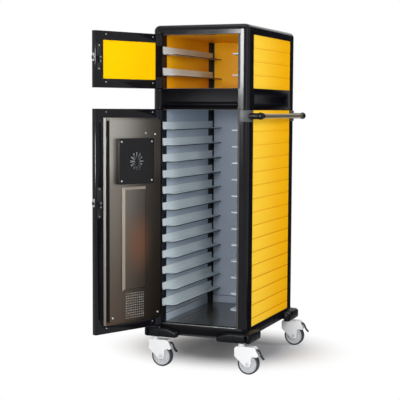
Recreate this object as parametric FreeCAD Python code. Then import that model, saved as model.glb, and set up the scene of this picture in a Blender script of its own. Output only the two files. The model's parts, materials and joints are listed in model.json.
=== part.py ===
import FreeCAD, Part
import math
import os

V = FreeCAD.Vector

# Enclosed, heated meal tray cart.  Millimetres, +Z up.  The cart is drawn with X to the right,
# Y from the front face (0) to the back and Z up from the floor, both doors drawn closed; the doors
# are then swung open and the whole cart is moved over its footprint's centre.

# ---------------------------------------------------------------- cabinet
CABINET_WIDTH = 475.0
CABINET_DEPTH = 712.0
CABINET_HEIGHT = 1600.0
CORNER_RADIUS = 35.0
TOP_EDGE_RADIUS = 26.0
WALL_STEP = 1.0                  # side walls behind the inner faces of the posts
FRONT_POST_DEPTH = 48.0          # a post's depth inside the opening
BACK_WALL = 62.0                 # inner face of the back wall to the back of the cart
POST_WALL = 4.0                  # the posts are hollow extrusions
POST_CHEEK = 18.0                # thickness of a post's leg beside the side panel
FRONT_CHEEK_LENGTH = 75.0
REAR_CHEEK_LENGTH = 80.0
BASE_BOTTOM = 161.0
FLOOR_LEVEL = 205.0              # floor of the heated compartment
TOP_FRAME_HEIGHT = 46.0
UPPER_OPENING_HEIGHT = 245.0
MIDDLE_HEIGHT = 99.0             # between the two openings
ROOF_RECESS = 3.0
SIDE_PANEL_THICKNESS = 5.0
PANEL_RECESS = 3.0
GROOVE_PITCH = 62.0
GROOVE_WIDTH = 4.0
GROOVE_DEPTH = 1.2
LINER_THICKNESS = 4.0
FLOOR_THICKNESS = 15.0
FLOOR_SEAM_WIDTH = 3.0
FLOOR_SEAM_DEPTH = 1.5
FLOOR_SEAM_INSET = 45.0
RAIL_TRIM_HEIGHT = 26.0          # rounded lip under the middle rail
RAIL_TRIM_BULGE = 6.0
RAIL_TRIM_DROP = 11.0            # from the lip's lower edge down to the opening
SIDE_RECESS_HEIGHT = 34.0
SIDE_RECESS_DEPTH = 4.0

# ---------------------------------------------------------------- tray rails
TRAY_WIDTH = 370.0               # standard meal tray, 370 x 530
TRAY_SIDE_CLEARANCE = 1.0
RAIL_THICKNESS = 2.0
RAIL_LEDGE = 51.0                # with the flange's thickness
RAIL_FLANGE = 35.0
RAIL_CORNER = 30.0
FLANGE_CORNER = 12.0
RAIL_FRONT = 12.0
LEDGE_FRONT = 42.0               # ledges start behind the heater of the closed door
RAIL_BACK_GAP = 5.0
LOWER_RAIL_COUNT = 12
LOWER_RAIL_START = 79.0          # lowest ledge above the floor
LOWER_RAIL_HEADROOM = 92.2       # highest ledge below the ceiling
UPPER_RAIL_COUNT = 2
UPPER_RAIL_START = 60.0
UPPER_RAIL_PITCH = 98.0
FRONT_UPRIGHT_DEPTH = 12.0
REAR_UPRIGHT_DEPTH = 52.0
REAR_UPRIGHT_RETURN = 12.0       # across the back wall
UPRIGHT_THICKNESS = 2.0

# ---------------------------------------------------------------- doors
DOOR_THICKNESS = 25.0
DOOR_GAP = 2.5                   # door's inner face to the posts
DOOR_SIDE_LAP = 9.0              # free edge past the opening
HINGE_OUTSET = 1.0               # hinge axis outside the opening
DOOR_OPEN_DEG = 115.0            # how far both doors stand open
UPPER_DOOR_LAP_ABOVE = 2.0       # doors past the edges of their openings
UPPER_DOOR_LAP_BELOW = 3.0
LOWER_DOOR_LAP_ABOVE = 3.0
LOWER_DOOR_LAP_BELOW = 4.0
DOOR_STILE = 45.0
DOOR_RAIL = 40.0
DOOR_PANEL_RECESS = 3.0
GASKET_THICKNESS = 2.0
GASKET_WIDTH = 9.0
GASKET_LIP = 2.0                 # width of the seal above and below an opening
GASKET_SIDE_GAP = 0.5
HINGE_PIN_RADIUS = 4.0
HINGE_PIN_REACH = 20.0
HINGE_LUG_THICKNESS = 8.0
HINGE_LUG_WIDTH = 22.0
HINGE_LUG_GAP = 2.0
RUNNING_CLEARANCE = 0.05
HINGE_PLATE_WIDTH = 35.0
HINGE_PLATE_HEIGHT = 48.0
HINGE_PLATE_THICKNESS = 2.0
HINGE_PLATE_MARGIN = 4.0         # plate to the door's top or bottom edge
DOOR_EDGE_RADIUS = 4.0
SCREW_RADIUS = 4.0
SCREW_HEAD = 1.8
STILE_SCREW_INSET = 17.0         # beside the door's window
RAIL_SCREW_RISE = 5.0            # above the middle of the door's rails
PLATE_SCREW_INSET = 10.0
LATCH_SCREW_INSET = 9.0

# ---------------------------------------------------------------- latches
LATCH_INSET = 23.0               # spindle from the door's free edge
UPPER_LATCH_DROP = 116.0         # spindle below the door's top
LOWER_LATCH_DROP = 418.0
UPPER_LATCH_LENGTH = 120.0       # plate let into the door's inner face
LOWER_LATCH_LENGTH = 140.0
LATCH_PLATE_WIDTH = 24.0
LATCH_PLATE_THICKNESS = 2.0
CAM_SETBACK = 4.0                # cam's front face behind the front of the posts
CAM_THICKNESS = 4.0
CAM_LENGTH = 27.0
CAM_WIDTH = 12.0
CAM_ROUNDING = 5.5
CAM_HUB_RADIUS = 9.0
CAM_CLEARANCE = 0.7
CAM_REACH = 15.0                 # room for the cam inside the post
CAM_SLOT_BELOW = 25.0
CAM_SLOT_ABOVE = 8.0
SPINDLE_RADIUS = 4.0
LEVER_LENGTH = 58.0
LEVER_WIDTH = 11.0
LEVER_THICKNESS = 6.0
LEVER_STANDOFF = 14.0
LEVER_HUB_RADIUS = 12.0
LEVER_CLEARANCE = 0.4
FACE_PLATE_HEIGHT = 36.0
FACE_PLATE_WIDTH = 14.0
FACE_PLATE_THICKNESS = 1.5
STRIKE_FRONT = 1.5               # strike plate behind the front of the post
STRIKE_THICKNESS = 2.0
STRIKE_HEIGHT = 50.0
STRIKE_DROP = 8.5                # its middle below the latch
STRIKE_DEPTH = 9.0

# ---------------------------------------------------------------- heater on the lower door
CASSETTE_TRAY_DEPTH = 18.0       # sheet tray that fills the door's window
CASSETTE_SIDE_INSET = 4.0        # box inside the door's window
CASSETTE_BOTTOM_INSET = 54.0     # box to the door's bottom and top
CASSETTE_TOP_INSET = 48.0
CASSETTE_DEPTH = 40.0
CASSETTE_SHEET = 2.0
CASSETTE_EDGE = 4.0
FAN_X = 10.0
FAN_DROP = 186.0                 # fan's axis below the top of the box
FAN_COVER_SIZE = 205.0
FAN_COVER_DEPTH = 22.0
FAN_COVER_WALL = 2.5
FAN_COVER_CORNER = 8.0
FAN_COVER_EDGE = 2.0
FAN_SCREW_INSET = 15.0
GRILLE_RADIUS = 41.0
GRILLE_HUB_RADIUS = 9.0
GRILLE_SLOTS = 12
GRILLE_SLOT_INNER = 2.0          # slot width near the hub and at the rim
GRILLE_SLOT_OUTER = 12.0
IMPELLER_RADIUS = 60.0
IMPELLER_HUB_RADIUS = 16.0
IMPELLER_BLADES = 9
IMPELLER_DEPTH = 14.0
IMPELLER_BLADE = 2.0
IMPELLER_GAP = 2.0               # behind it, to the cassette's face
BLADE_SWEEP_DEG = 25.0
MOTOR_RADIUS = 34.0
MOTOR_DEPTH = 26.0
MOTOR_FOOT_REACH = 20.0
MOTOR_FOOT_DEPTH = 9.5
MOTOR_END = 6.0                  # closed end of the motor behind its shaft bore
SHAFT_RADIUS = 4.0
SHAFT_END_GAP = 2.0
UPPER_FITTINGS = ((-60.0, 61.0), (-116.0, 66.0))       # x, and depth below the top of the box
LOWER_FITTINGS = ((-132.0, 21.0), (132.0, 21.0))       # x, and height above its bottom
DUCT_LEFT = -57.0
DUCT_RIGHT = 81.0
DUCT_BOTTOM_INSET = 140.0
DUCT_TOP_INSET = 303.0
DUCT_DEPTH = 13.0
DUCT_BEVEL = 10.0
INLET_HOLE_RADIUS = 2.5
INLET_PITCH = 11.0
INLET_COLUMNS = 10
INLET_ROWS = 11
INLET_LEFT = -45.0
INLET_RISE = 13.0                # lowest holes above the bottom of the box
ELEMENT_RADIUS = 4.0
ELEMENT_BEND = 18.0
ELEMENT_RUNS = 4
ELEMENT_DEPTH = 16.0
ELEMENT_RISE = 40.0              # lowest bend above the duct's lower end
ELEMENT_HEADROOM = 47.0          # tails below the duct's upper end
CLIP_MARGIN = 12.0
CLIP_INSET = 30.0
CLIP_HALF_HEIGHT = 4.0
CLIP_COVER = 2.0
INLET_SOCKET_RISE = 129.0        # above the door's bottom
INLET_SOCKET_RADIUS = 32.0
INLET_SOCKET_DEPTH = 16.0
INLET_SOCKET_BORE = 20.0
INLET_SOCKET_FLOOR = 3.0
INLET_PIN_LENGTH = 11.0
INLET_PIN_RADIUS = 2.5
INLET_PIN_CIRCLE = 9.0

# ---------------------------------------------------------------- push handle, right-hand side
HANDLE_DROP = 27.0               # rod below the top of the lower opening
HANDLE_ROD_RADIUS = 11.0
HANDLE_STANDOFF = 54.0
HANDLE_FRONT_Y = 20.0
HANDLE_REAR_SETBACK = 40.0
HANDLE_ARM_RADIUS = 14.0
HANDLE_BALL_RADIUS = 17.0
HANDLE_SOCKET_LENGTH = 30.0
BRACKET_HEIGHT = 53.0
BRACKET_THICKNESS = 5.0
BRACKET_FRONT_REACH = 38.0
BRACKET_SIDE_REACH = 54.0

# ---------------------------------------------------------------- chassis, bumpers and castors
CHASSIS_THICKNESS = 15.0
CHASSIS_INSET = 30.0
CHASSIS_BAR = 40.0
PAD_OFFSET = 18.0
PAD_LENGTH = 90.0
BUMPER_BOTTOM = 143.0
BUMPER_EDGE = 184.0
BUMPER_TOP = 194.0
BUMPER_OFFSET = 28.0
BUMPER_RADIUS = 14.0
BUMPER_LEG = 140.0               # leg length measured from the cabinet's corner
BUMPER_TOP_GAP = 0.5             # upper edge of the bumper to the cabinet
BUMPER_SLOT_X = 8.0              # slot's middle outside the cabinet's side
BUMPER_SLOT_WIDTH = 12.0
BUMPER_SLOT_HEIGHT = 36.0
BUMPER_GROOVE_X = -54.0
BUMPER_GROOVE_WIDTH = 5.0
BUMPER_GROOVE_DEPTH = 3.0
BUMPER_GROOVE_TOP = 178.0
HINGE_BOSS_DEPTH = 9.0
HINGE_BOSS_HEIGHT = 20.0
CASTOR_INSET_X = 21.5            # swivel axis inside the cabinet's side
CASTOR_INSET_Y = 1.0
WHEEL_RADIUS = 50.0
WHEEL_WIDTH = 30.0
TYRE_THICKNESS = 8.0
CASTOR_TRAIL = 36.0
CASTOR_CLEARANCE = 0.4
AXLE_RADIUS = 5.0
FORK_HALF_WIDTH = 22.0
FORK_SLOT_HALF_WIDTH = 16.8
FORK_TOP = 129.0
HOOD_CLEARANCE = 4.0
HOOD_EDGE = 2.0
# hood and leg of the castor from the side: x and z from the wheel's centre, corner radius
HOOD_CORNERS = ((-64.0, 79.0, 14.0), (31.0, 79.0, 10.0), (51.5, 39.0, 4.0), (43.0, 34.0, 3.0),
                (20.0, 36.0, 8.0), (13.0, -14.0, 12.0), (-12.0, -14.0, 12.0), (-64.0, 34.0, 8.0))
HEAD_RADIUS = 15.0
HEAD_OVERLAP = 5.0
STEM_RADIUS = 8.0
STEM_RECESS = 1.5                # stem's end below the top of the chassis
AXLE_END = 2.0
# half of the wheel's section: radius and half width, from the bore out to the rim
WHEEL_PROFILE = ((5.05, 15.8), (13.0, 15.8), (16.0, 8.0), (34.0, 8.0), (37.0, 13.0), (42.0, 13.0))
TYRE_EDGE_RADIUS = 4.8
NOTCH_MARGIN = 2.0
NOTCH_BOTTOM = 80.0
PEDAL_PIN_INSET = 4.0
# pedal from the side: x and z from its pivot
PEDAL_ARM_CORNERS = ((0.0, 5.5), (9.0, 7.0), (27.0, -18.0), (20.0, -22.0), (0.0, -5.0))
PEDAL_PADDLE_CORNERS = ((22.0, -10.0), (27.0, -18.0), (40.0, -36.0), (34.0, -40.0), (19.0, -21.0))
PEDAL_PIN_RADIUS = 2.5
PEDAL_BARREL_RADIUS = 6.0
PEDAL_ARM_HALF_WIDTH = 8.0
PEDAL_PADDLE_HALF_WIDTH = 11.0
PEDAL_X = 36.0                   # pedal pivot from the wheel's centre
PEDAL_Z = 112.0

# ---------------------------------------------------------------- worked-out values
HALF_WIDTH = CABINET_WIDTH / 2
FLANGE_X = TRAY_WIDTH / 2 + TRAY_SIDE_CLEARANCE
WALL_FACE = FLANGE_X + RAIL_THICKNESS + UPRIGHT_THICKNESS        # inner face of the side walls
HALF_OPENING = WALL_FACE - WALL_STEP
DOOR_HALF_WIDTH = HALF_OPENING + DOOR_SIDE_LAP
HINGE_X = -HALF_OPENING - HINGE_OUTSET
LATCH_X = DOOR_HALF_WIDTH - LATCH_INSET
CASSETTE_HALF_WIDTH = DOOR_HALF_WIDTH - DOOR_STILE - CASSETTE_SIDE_INSET
TOP_FRAME_BOTTOM = CABINET_HEIGHT - TOP_FRAME_HEIGHT
UPPER_OPENING_BOTTOM = TOP_FRAME_BOTTOM - UPPER_OPENING_HEIGHT
LOWER_OPENING_TOP = UPPER_OPENING_BOTTOM - MIDDLE_HEIGHT
LOWER_RAIL_PITCH = ((LOWER_OPENING_TOP - FLOOR_LEVEL - LOWER_RAIL_START - LOWER_RAIL_HEADROOM)
                    / (LOWER_RAIL_COUNT - 1))
UPPER_DOOR_TOP = TOP_FRAME_BOTTOM + UPPER_DOOR_LAP_ABOVE
UPPER_DOOR_BOTTOM = UPPER_OPENING_BOTTOM - UPPER_DOOR_LAP_BELOW
LOWER_DOOR_TOP = LOWER_OPENING_TOP + LOWER_DOOR_LAP_ABOVE
LOWER_DOOR_BOTTOM = FLOOR_LEVEL - LOWER_DOOR_LAP_BELOW
UPPER_LATCH_Z = UPPER_DOOR_TOP - UPPER_LATCH_DROP
LOWER_LATCH_Z = LOWER_DOOR_TOP - LOWER_LATCH_DROP
CASSETTE_TOP = LOWER_DOOR_TOP - CASSETTE_TOP_INSET
CASSETTE_BOTTOM = LOWER_DOOR_BOTTOM + CASSETTE_BOTTOM_INSET
FAN_Z = CASSETTE_TOP - FAN_DROP
FITTINGS = ([(x, CASSETTE_TOP - drop) for x, drop in UPPER_FITTINGS]
            + [(x, CASSETTE_BOTTOM + rise) for x, rise in LOWER_FITTINGS])
DUCT_TOP = CASSETTE_TOP - DUCT_TOP_INSET
DUCT_BOTTOM = CASSETTE_BOTTOM + DUCT_BOTTOM_INSET
INLET_BOTTOM = CASSETTE_BOTTOM + INLET_RISE
INLET_SOCKET_Z = LOWER_DOOR_BOTTOM + INLET_SOCKET_RISE
HANDLE_Z = LOWER_OPENING_TOP - HANDLE_DROP
BACK_FACE = CABINET_DEPTH - BACK_WALL
CHEEK_INNER = HALF_WIDTH - POST_CHEEK
PANEL_FRONT = FRONT_CHEEK_LENGTH
PANEL_BACK = CABINET_DEPTH - REAR_CHEEK_LENGTH
PANEL_OUTER = HALF_WIDTH - PANEL_RECESS
DOOR_OUTER_Y = -DOOR_GAP - DOOR_THICKNESS
DOOR_INNER_Y = -DOOR_GAP
HINGE_Y = -DOOR_GAP - DOOR_THICKNESS / 2
PANEL_OUTER_Y = DOOR_OUTER_Y + DOOR_PANEL_RECESS
PANEL_FACE_Y = DOOR_INNER_Y - DOOR_PANEL_RECESS
CASSETTE_FACE = DOOR_INNER_Y + CASSETTE_DEPTH
NOSE_RADIUS = DOOR_THICKNESS / 2
CASTOR_X = HALF_WIDTH - CASTOR_INSET_X
CHASSIS_BOTTOM = BASE_BOTTOM - CHASSIS_THICKNESS
WHEEL_Z = WHEEL_RADIUS

nodes = {}


def add(name, *solids):
    nodes[name] = list(solids)


def block(x0, x1, y0, y1, z0, z1):
    return Part.makeBox(x1 - x0, y1 - y0, z1 - z0, V(x0, y0, z0))


def rod(start, direction, radius, length):
    return Part.makeCylinder(radius, length, V(*start), V(*direction))


def polygon_prism(corners, run):
    return Part.Face(Part.makePolygon(corners + corners[:1])).extrude(run)


def join(*shapes):
    whole = shapes[0]
    for shape in shapes[1:]:
        whole = whole.fuse(shape)
    return whole.removeSplitter()


def mirrored_x(shape):
    return shape.mirror(V(0, 0, 0), V(1, 0, 0))


def edges_along(shape, axis, keep=lambda mid: True):
    """Straight edges that run along an axis, picked by their middle point."""
    found = []
    for edge in shape.Edges:
        if not isinstance(edge.Curve, (Part.Line, Part.LineSegment)):
            continue
        run = edge.Vertexes[-1].Point.sub(edge.Vertexes[0].Point)
        middle = edge.Vertexes[0].Point + run * 0.5
        if abs(abs(run.getAngle(axis) - math.pi / 2) - math.pi / 2) < 1e-4 and keep(middle):
            found.append(edge)
    return found


def plan_wire(offset, z, radius=None):
    """The cabinet's rounded outline, pushed out by an offset, at height z."""
    x = HALF_WIDTH + offset
    y0, y1 = -offset, CABINET_DEPTH + offset
    r = CORNER_RADIUS + offset if radius is None else radius
    edges = []
    corners = [(x - r, y0 + r, -90), (x - r, y1 - r, 0), (-x + r, y1 - r, 90), (-x + r, y0 + r, 180)]
    previous = None
    first = None
    for cx, cy, start in corners:
        a, b, c = [V(cx + r * math.cos(math.radians(start + turn)),
                     cy + r * math.sin(math.radians(start + turn)), z) for turn in (0, 45, 90)]
        if previous is not None:
            edges.append(Part.LineSegment(previous, a).toShape())
        else:
            first = a
        edges.append(Part.Arc(a, b, c).toShape())
        previous = c
    edges.append(Part.LineSegment(previous, first).toShape())
    return Part.Wire(edges)


def plan_prism(offset, z0, z1):
    return Part.Face(plan_wire(offset, z0)).extrude(V(0, 0, z1 - z0))


def four_corners(shape):
    """Front left, front right, rear left and rear right copies of a front right piece."""
    back = shape.mirror(V(0, CABINET_DEPTH / 2, 0), V(0, 1, 0))
    return {"front_left": mirrored_x(shape), "front_right": shape,
            "rear_left": mirrored_x(back), "rear_right": back}


# ---------------------------------------------------------------- cabinet frame
def strike_plate(z):
    middle = z - STRIKE_DROP
    return block(HALF_OPENING, HALF_OPENING + STRIKE_THICKNESS, STRIKE_FRONT,
                 STRIKE_FRONT + STRIKE_DEPTH, middle - STRIKE_HEIGHT / 2, middle + STRIKE_HEIGHT / 2)


def cam_slot(z):
    """Slot through which the turning cam enters its strike plate and the right front post."""
    return block(HALF_OPENING - CAM_CLEARANCE, HALF_OPENING + CAM_REACH, CAM_SETBACK - CAM_CLEARANCE,
                 CAM_SETBACK + CAM_THICKNESS + CAM_CLEARANCE, z - CAM_SLOT_BELOW, z + CAM_SLOT_ABOVE)


def corner_post(cheek_length, leg_depth, at_back):
    """One post: a leg beside the opening and a thin cheek beside the side panel."""
    bottom, top = FLOOR_LEVEL, TOP_FRAME_BOTTOM
    if at_back:
        leg = block(HALF_OPENING, HALF_WIDTH, CABINET_DEPTH - leg_depth, CABINET_DEPTH, bottom, top)
        cheek = block(CHEEK_INNER, HALF_WIDTH, CABINET_DEPTH - cheek_length, CABINET_DEPTH, bottom, top)
    else:
        leg = block(HALF_OPENING, HALF_WIDTH, 0, leg_depth, bottom, top)
        cheek = block(CHEEK_INNER, HALF_WIDTH, 0, cheek_length, bottom, top)
    post = join(leg, cheek).common(plan_prism(0, bottom - 1, top + 1))
    wall = POST_WALL
    y0, y1 = leg.BoundBox.YMin + wall, leg.BoundBox.YMax - wall
    hollow = block(HALF_OPENING + wall, HALF_WIDTH - wall, y0, y1, bottom - 1, top + 1)
    return post.cut(hollow.common(plan_prism(-wall, bottom - 1, top + 1)))


def make_posts():
    front = corner_post(FRONT_CHEEK_LENGTH, FRONT_POST_DEPTH, False)
    rear = corner_post(REAR_CHEEK_LENGTH, BACK_WALL, True)
    latched = front
    for z in (UPPER_LATCH_Z, LOWER_LATCH_Z):
        latched = latched.cut(cam_slot(z)).cut(strike_plate(z))
    add("corner_post_front_left", mirrored_x(front))
    add("corner_post_front_right", latched)
    add("corner_post_rear_left", mirrored_x(rear))
    add("corner_post_rear_right", rear)


def make_strikes():
    add("latch_strikes", *[strike_plate(z).cut(cam_slot(z)) for z in (UPPER_LATCH_Z, LOWER_LATCH_Z)])


def make_top():
    """Rounded top frame, with ceiling, insulation and roof panel inside its ring."""
    crown = plan_prism(0, TOP_FRAME_BOTTOM, CABINET_HEIGHT)
    rim = [edge for edge in crown.Edges
           if all(abs(v.Z - CABINET_HEIGHT) < 1e-6 for v in edge.Vertexes)]
    crown = crown.makeFillet(TOP_EDGE_RADIUS, rim)
    hole = block(-HALF_OPENING, HALF_OPENING, FRONT_POST_DEPTH, BACK_FACE,
                 TOP_FRAME_BOTTOM - 1, CABINET_HEIGHT + 1)
    add("top_frame", crown.cut(hole))
    roof_top = CABINET_HEIGHT - ROOF_RECESS
    add("roof_panel", block(-HALF_OPENING, HALF_OPENING, FRONT_POST_DEPTH, BACK_FACE,
                            roof_top - LINER_THICKNESS, roof_top))


def make_base():
    """Sill ring, floor pan with a seam, and the steel chassis with its castor pads."""
    ring = plan_prism(0, BASE_BOTTOM, FLOOR_LEVEL)
    hole = block(-HALF_OPENING, HALF_OPENING, FRONT_POST_DEPTH, BACK_FACE,
                 BASE_BOTTOM - 1, FLOOR_LEVEL + 1)
    add("base_frame", ring.cut(hole))

    pan = block(-HALF_OPENING, HALF_OPENING, FRONT_POST_DEPTH, BACK_FACE,
                FLOOR_LEVEL - FLOOR_THICKNESS, FLOOR_LEVEL)
    inset = FLOOR_SEAM_INSET
    outer = block(-HALF_OPENING + inset, HALF_OPENING - inset, FRONT_POST_DEPTH + inset,
                  BACK_FACE - inset, FLOOR_LEVEL - FLOOR_SEAM_DEPTH, FLOOR_LEVEL + 1)
    inset += FLOOR_SEAM_WIDTH
    inner = block(-HALF_OPENING + inset, HALF_OPENING - inset, FRONT_POST_DEPTH + inset,
                  BACK_FACE - inset, FLOOR_LEVEL - FLOOR_SEAM_DEPTH - 1, FLOOR_LEVEL + 2)
    add("floor_pan", pan.cut(outer.cut(inner)))

    frame = plan_prism(-CHASSIS_INSET, CHASSIS_BOTTOM, BASE_BOTTOM)
    frame = frame.cut(block(-HALF_WIDTH + CHASSIS_INSET + CHASSIS_BAR,
                            HALF_WIDTH - CHASSIS_INSET - CHASSIS_BAR,
                            CHASSIS_INSET + CHASSIS_BAR, CABINET_DEPTH - CHASSIS_INSET - CHASSIS_BAR,
                            CHASSIS_BOTTOM - 1, BASE_BOTTOM + 1))
    for pad in four_corners(corner_pad()).values():
        frame = frame.fuse(pad)
    frame = frame.removeSplitter()
    for x, y in castor_places().values():
        frame = frame.cut(rod((x, y, CHASSIS_BOTTOM - 1), (0, 0, 1),
                              STEM_RADIUS + RUNNING_CLEARANCE, CHASSIS_THICKNESS))
    add("chassis", frame)


def corner_pad():
    """Front right castor pad of the chassis, reaching out under the cabinet's corner."""
    zone = block(HALF_WIDTH - PAD_LENGTH, HALF_WIDTH + PAD_OFFSET + 1, -PAD_OFFSET - 1, PAD_LENGTH,
                 CHASSIS_BOTTOM, BASE_BOTTOM)
    return zone.common(plan_prism(PAD_OFFSET, CHASSIS_BOTTOM, BASE_BOTTOM))


def make_middle():
    """Rails between the two compartments: front with a rounded lip, sides with a recess, back."""
    front = block(-HALF_OPENING, HALF_OPENING, 0, FRONT_POST_DEPTH,
                  LOWER_OPENING_TOP, UPPER_OPENING_BOTTOM)
    lip_z = LOWER_OPENING_TOP + RAIL_TRIM_DROP
    half = RAIL_TRIM_HEIGHT / 2
    left, right = HINGE_X + HINGE_LUG_WIDTH / 2 + 4, HALF_OPENING
    arc = Part.Arc(V(left, 0, lip_z), V(left, -RAIL_TRIM_BULGE, lip_z + half),
                   V(left, 0, lip_z + 2 * half)).toShape()
    chord = Part.LineSegment(V(left, 0, lip_z + 2 * half), V(left, 0, lip_z)).toShape()
    lip = Part.Face(Part.Wire([arc, chord])).extrude(V(right - left, 0, 0))
    front = join(front, lip)

    side = block(CHEEK_INNER, HALF_WIDTH, PANEL_FRONT, PANEL_BACK,
                 LOWER_OPENING_TOP, UPPER_OPENING_BOTTOM)
    middle = (LOWER_OPENING_TOP + UPPER_OPENING_BOTTOM) / 2
    side = side.cut(block(HALF_WIDTH - SIDE_RECESS_DEPTH, HALF_WIDTH + 1,
                          PANEL_FRONT + GROOVE_PITCH / 4, PANEL_BACK - GROOVE_PITCH,
                          middle - SIDE_RECESS_HEIGHT / 2, middle + SIDE_RECESS_HEIGHT / 2))
    back = block(-HALF_OPENING, HALF_OPENING, BACK_FACE + LINER_THICKNESS, CABINET_DEPTH,
                 LOWER_OPENING_TOP, UPPER_OPENING_BOTTOM)
    add("mid_rails", front, side, mirrored_x(side), back)


def grooved_panel(x0, x1, y0, y1, z0, z1, face):
    """A panel with shallow horizontal grooves on its +x, +y or -y face."""
    panel = block(x0, x1, y0, y1, z0, z1)
    count = int((z1 - z0 - GROOVE_WIDTH) // GROOVE_PITCH)
    first = z1 - (z1 - z0 - (count - 1) * GROOVE_PITCH) / 2
    level, floor = {"+x": (x1, x1 - GROOVE_DEPTH), "+y": (y1, y1 - GROOVE_DEPTH),
                    "-y": (y0, y0 + GROOVE_DEPTH)}[face]
    cuts = []
    for index in range(count):
        z = first - index * GROOVE_PITCH
        profile = ((level, z - GROOVE_WIDTH / 2), (floor, z), (level, z + GROOVE_WIDTH / 2))
        if face == "+x":
            corners, run = [V(x, y0, height) for x, height in profile], V(0, y1 - y0, 0)
        else:
            corners, run = [V(x0, y, height) for y, height in profile], V(x1 - x0, 0, 0)
        cuts.append(polygon_prism(corners, run))
    return panel.cut(Part.makeCompound(cuts))


def make_walls():
    """Yellow outer panels, insulation boards and inner liners of both compartments."""
    spans = ((FLOOR_LEVEL, LOWER_OPENING_TOP), (UPPER_OPENING_BOTTOM, TOP_FRAME_BOTTOM))
    outer, back, boards = [], [], []
    for z0, z1 in spans:
        panel = grooved_panel(PANEL_OUTER - SIDE_PANEL_THICKNESS, PANEL_OUTER,
                              PANEL_FRONT, PANEL_BACK, z0, z1, "+x")
        outer += [panel, mirrored_x(panel)]
        back.append(grooved_panel(-HALF_OPENING, HALF_OPENING,
                                  CABINET_DEPTH - PANEL_RECESS - SIDE_PANEL_THICKNESS,
                                  CABINET_DEPTH - PANEL_RECESS, z0, z1, "+y"))
        board = join(block(WALL_FACE + LINER_THICKNESS, CHEEK_INNER, FRONT_POST_DEPTH, BACK_FACE, z0, z1),
                     block(CHEEK_INNER, PANEL_OUTER - SIDE_PANEL_THICKNESS, PANEL_FRONT, PANEL_BACK, z0, z1))
        boards += [board, mirrored_x(board)]
        boards.append(block(-HALF_OPENING, HALF_OPENING, BACK_FACE + LINER_THICKNESS,
                            CABINET_DEPTH - PANEL_RECESS - SIDE_PANEL_THICKNESS, z0, z1))
    roof_under = CABINET_HEIGHT - ROOF_RECESS - LINER_THICKNESS
    boards.append(block(-HALF_OPENING, HALF_OPENING, FRONT_POST_DEPTH, BACK_FACE,
                        TOP_FRAME_BOTTOM + LINER_THICKNESS, roof_under))
    boards.append(block(-WALL_FACE, WALL_FACE, FRONT_POST_DEPTH, BACK_FACE,
                        LOWER_OPENING_TOP + LINER_THICKNESS, UPPER_OPENING_BOTTOM - LINER_THICKNESS))
    add("outer_panels", *(outer + back))
    add("insulation_boards", *boards)

    upper_ceiling = block(-HALF_OPENING, HALF_OPENING, FRONT_POST_DEPTH, BACK_FACE,
                          TOP_FRAME_BOTTOM, TOP_FRAME_BOTTOM + LINER_THICKNESS)
    upper_floor = block(-WALL_FACE, WALL_FACE, FRONT_POST_DEPTH, BACK_FACE,
                        UPPER_OPENING_BOTTOM - LINER_THICKNESS, UPPER_OPENING_BOTTOM)
    lower_ceiling = block(-WALL_FACE, WALL_FACE, FRONT_POST_DEPTH, BACK_FACE,
                          LOWER_OPENING_TOP, LOWER_OPENING_TOP + LINER_THICKNESS)
    add("upper_liner", *(liner_walls(UPPER_OPENING_BOTTOM, TOP_FRAME_BOTTOM)
                         + [upper_ceiling, upper_floor]))
    add("lower_liner", *(liner_walls(FLOOR_LEVEL, LOWER_OPENING_TOP) + [lower_ceiling]))


def liner_walls(z0, z1):
    side = block(WALL_FACE, WALL_FACE + LINER_THICKNESS, FRONT_POST_DEPTH, BACK_FACE, z0, z1)
    back = block(-HALF_OPENING, HALF_OPENING, BACK_FACE, BACK_FACE + LINER_THICKNESS, z0, z1)
    return [side, mirrored_x(side), back]


# ---------------------------------------------------------------- tray rails
def tray_rail(z):
    """Left-hand angle rail: upright flange, and a shorter ledge with rounded inner corners."""
    back = BACK_FACE - RAIL_BACK_GAP
    outer, inner = -FLANGE_X - RAIL_THICKNESS, -FLANGE_X - RAIL_THICKNESS + RAIL_LEDGE
    flange = block(outer, -FLANGE_X, RAIL_FRONT, back, z, z + RAIL_FLANGE)
    front_low = edges_along(flange, V(1, 0, 0), lambda mid: mid.y < RAIL_FRONT + 1 and mid.z < z + 1)
    flange = flange.makeFillet(FLANGE_CORNER, front_low)
    ledge = block(outer, inner, LEDGE_FRONT, back, z, z + RAIL_THICKNESS)
    ledge = ledge.makeFillet(RAIL_CORNER, edges_along(ledge, V(0, 0, 1),
                                                      lambda mid: abs(mid.x - inner) < 1e-6))
    return join(flange, ledge)


def make_rails():
    rails = []
    for start, count, pitch in (
            (FLOOR_LEVEL + LOWER_RAIL_START, LOWER_RAIL_COUNT, LOWER_RAIL_PITCH),
            (UPPER_OPENING_BOTTOM + UPPER_RAIL_START, UPPER_RAIL_COUNT, UPPER_RAIL_PITCH)):
        for level in range(count):
            left = tray_rail(start + level * pitch)
            rails += [left, mirrored_x(left)]
    add("tray_rails", *rails)

    uprights = []
    face = -WALL_FACE + UPRIGHT_THICKNESS
    for z0, z1 in ((FLOOR_LEVEL, LOWER_OPENING_TOP), (UPPER_OPENING_BOTTOM, TOP_FRAME_BOTTOM)):
        front = block(-WALL_FACE, face, FRONT_POST_DEPTH, FRONT_POST_DEPTH + FRONT_UPRIGHT_DEPTH, z0, z1)
        rear = join(block(-WALL_FACE, face, BACK_FACE - REAR_UPRIGHT_DEPTH, BACK_FACE, z0, z1),
                    block(-WALL_FACE, -WALL_FACE + REAR_UPRIGHT_RETURN, BACK_FACE - UPRIGHT_THICKNESS,
                          BACK_FACE, z0, z1))
        uprights += [front, mirrored_x(front), rear, mirrored_x(rear)]
    add("rail_uprights", *uprights)


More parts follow.
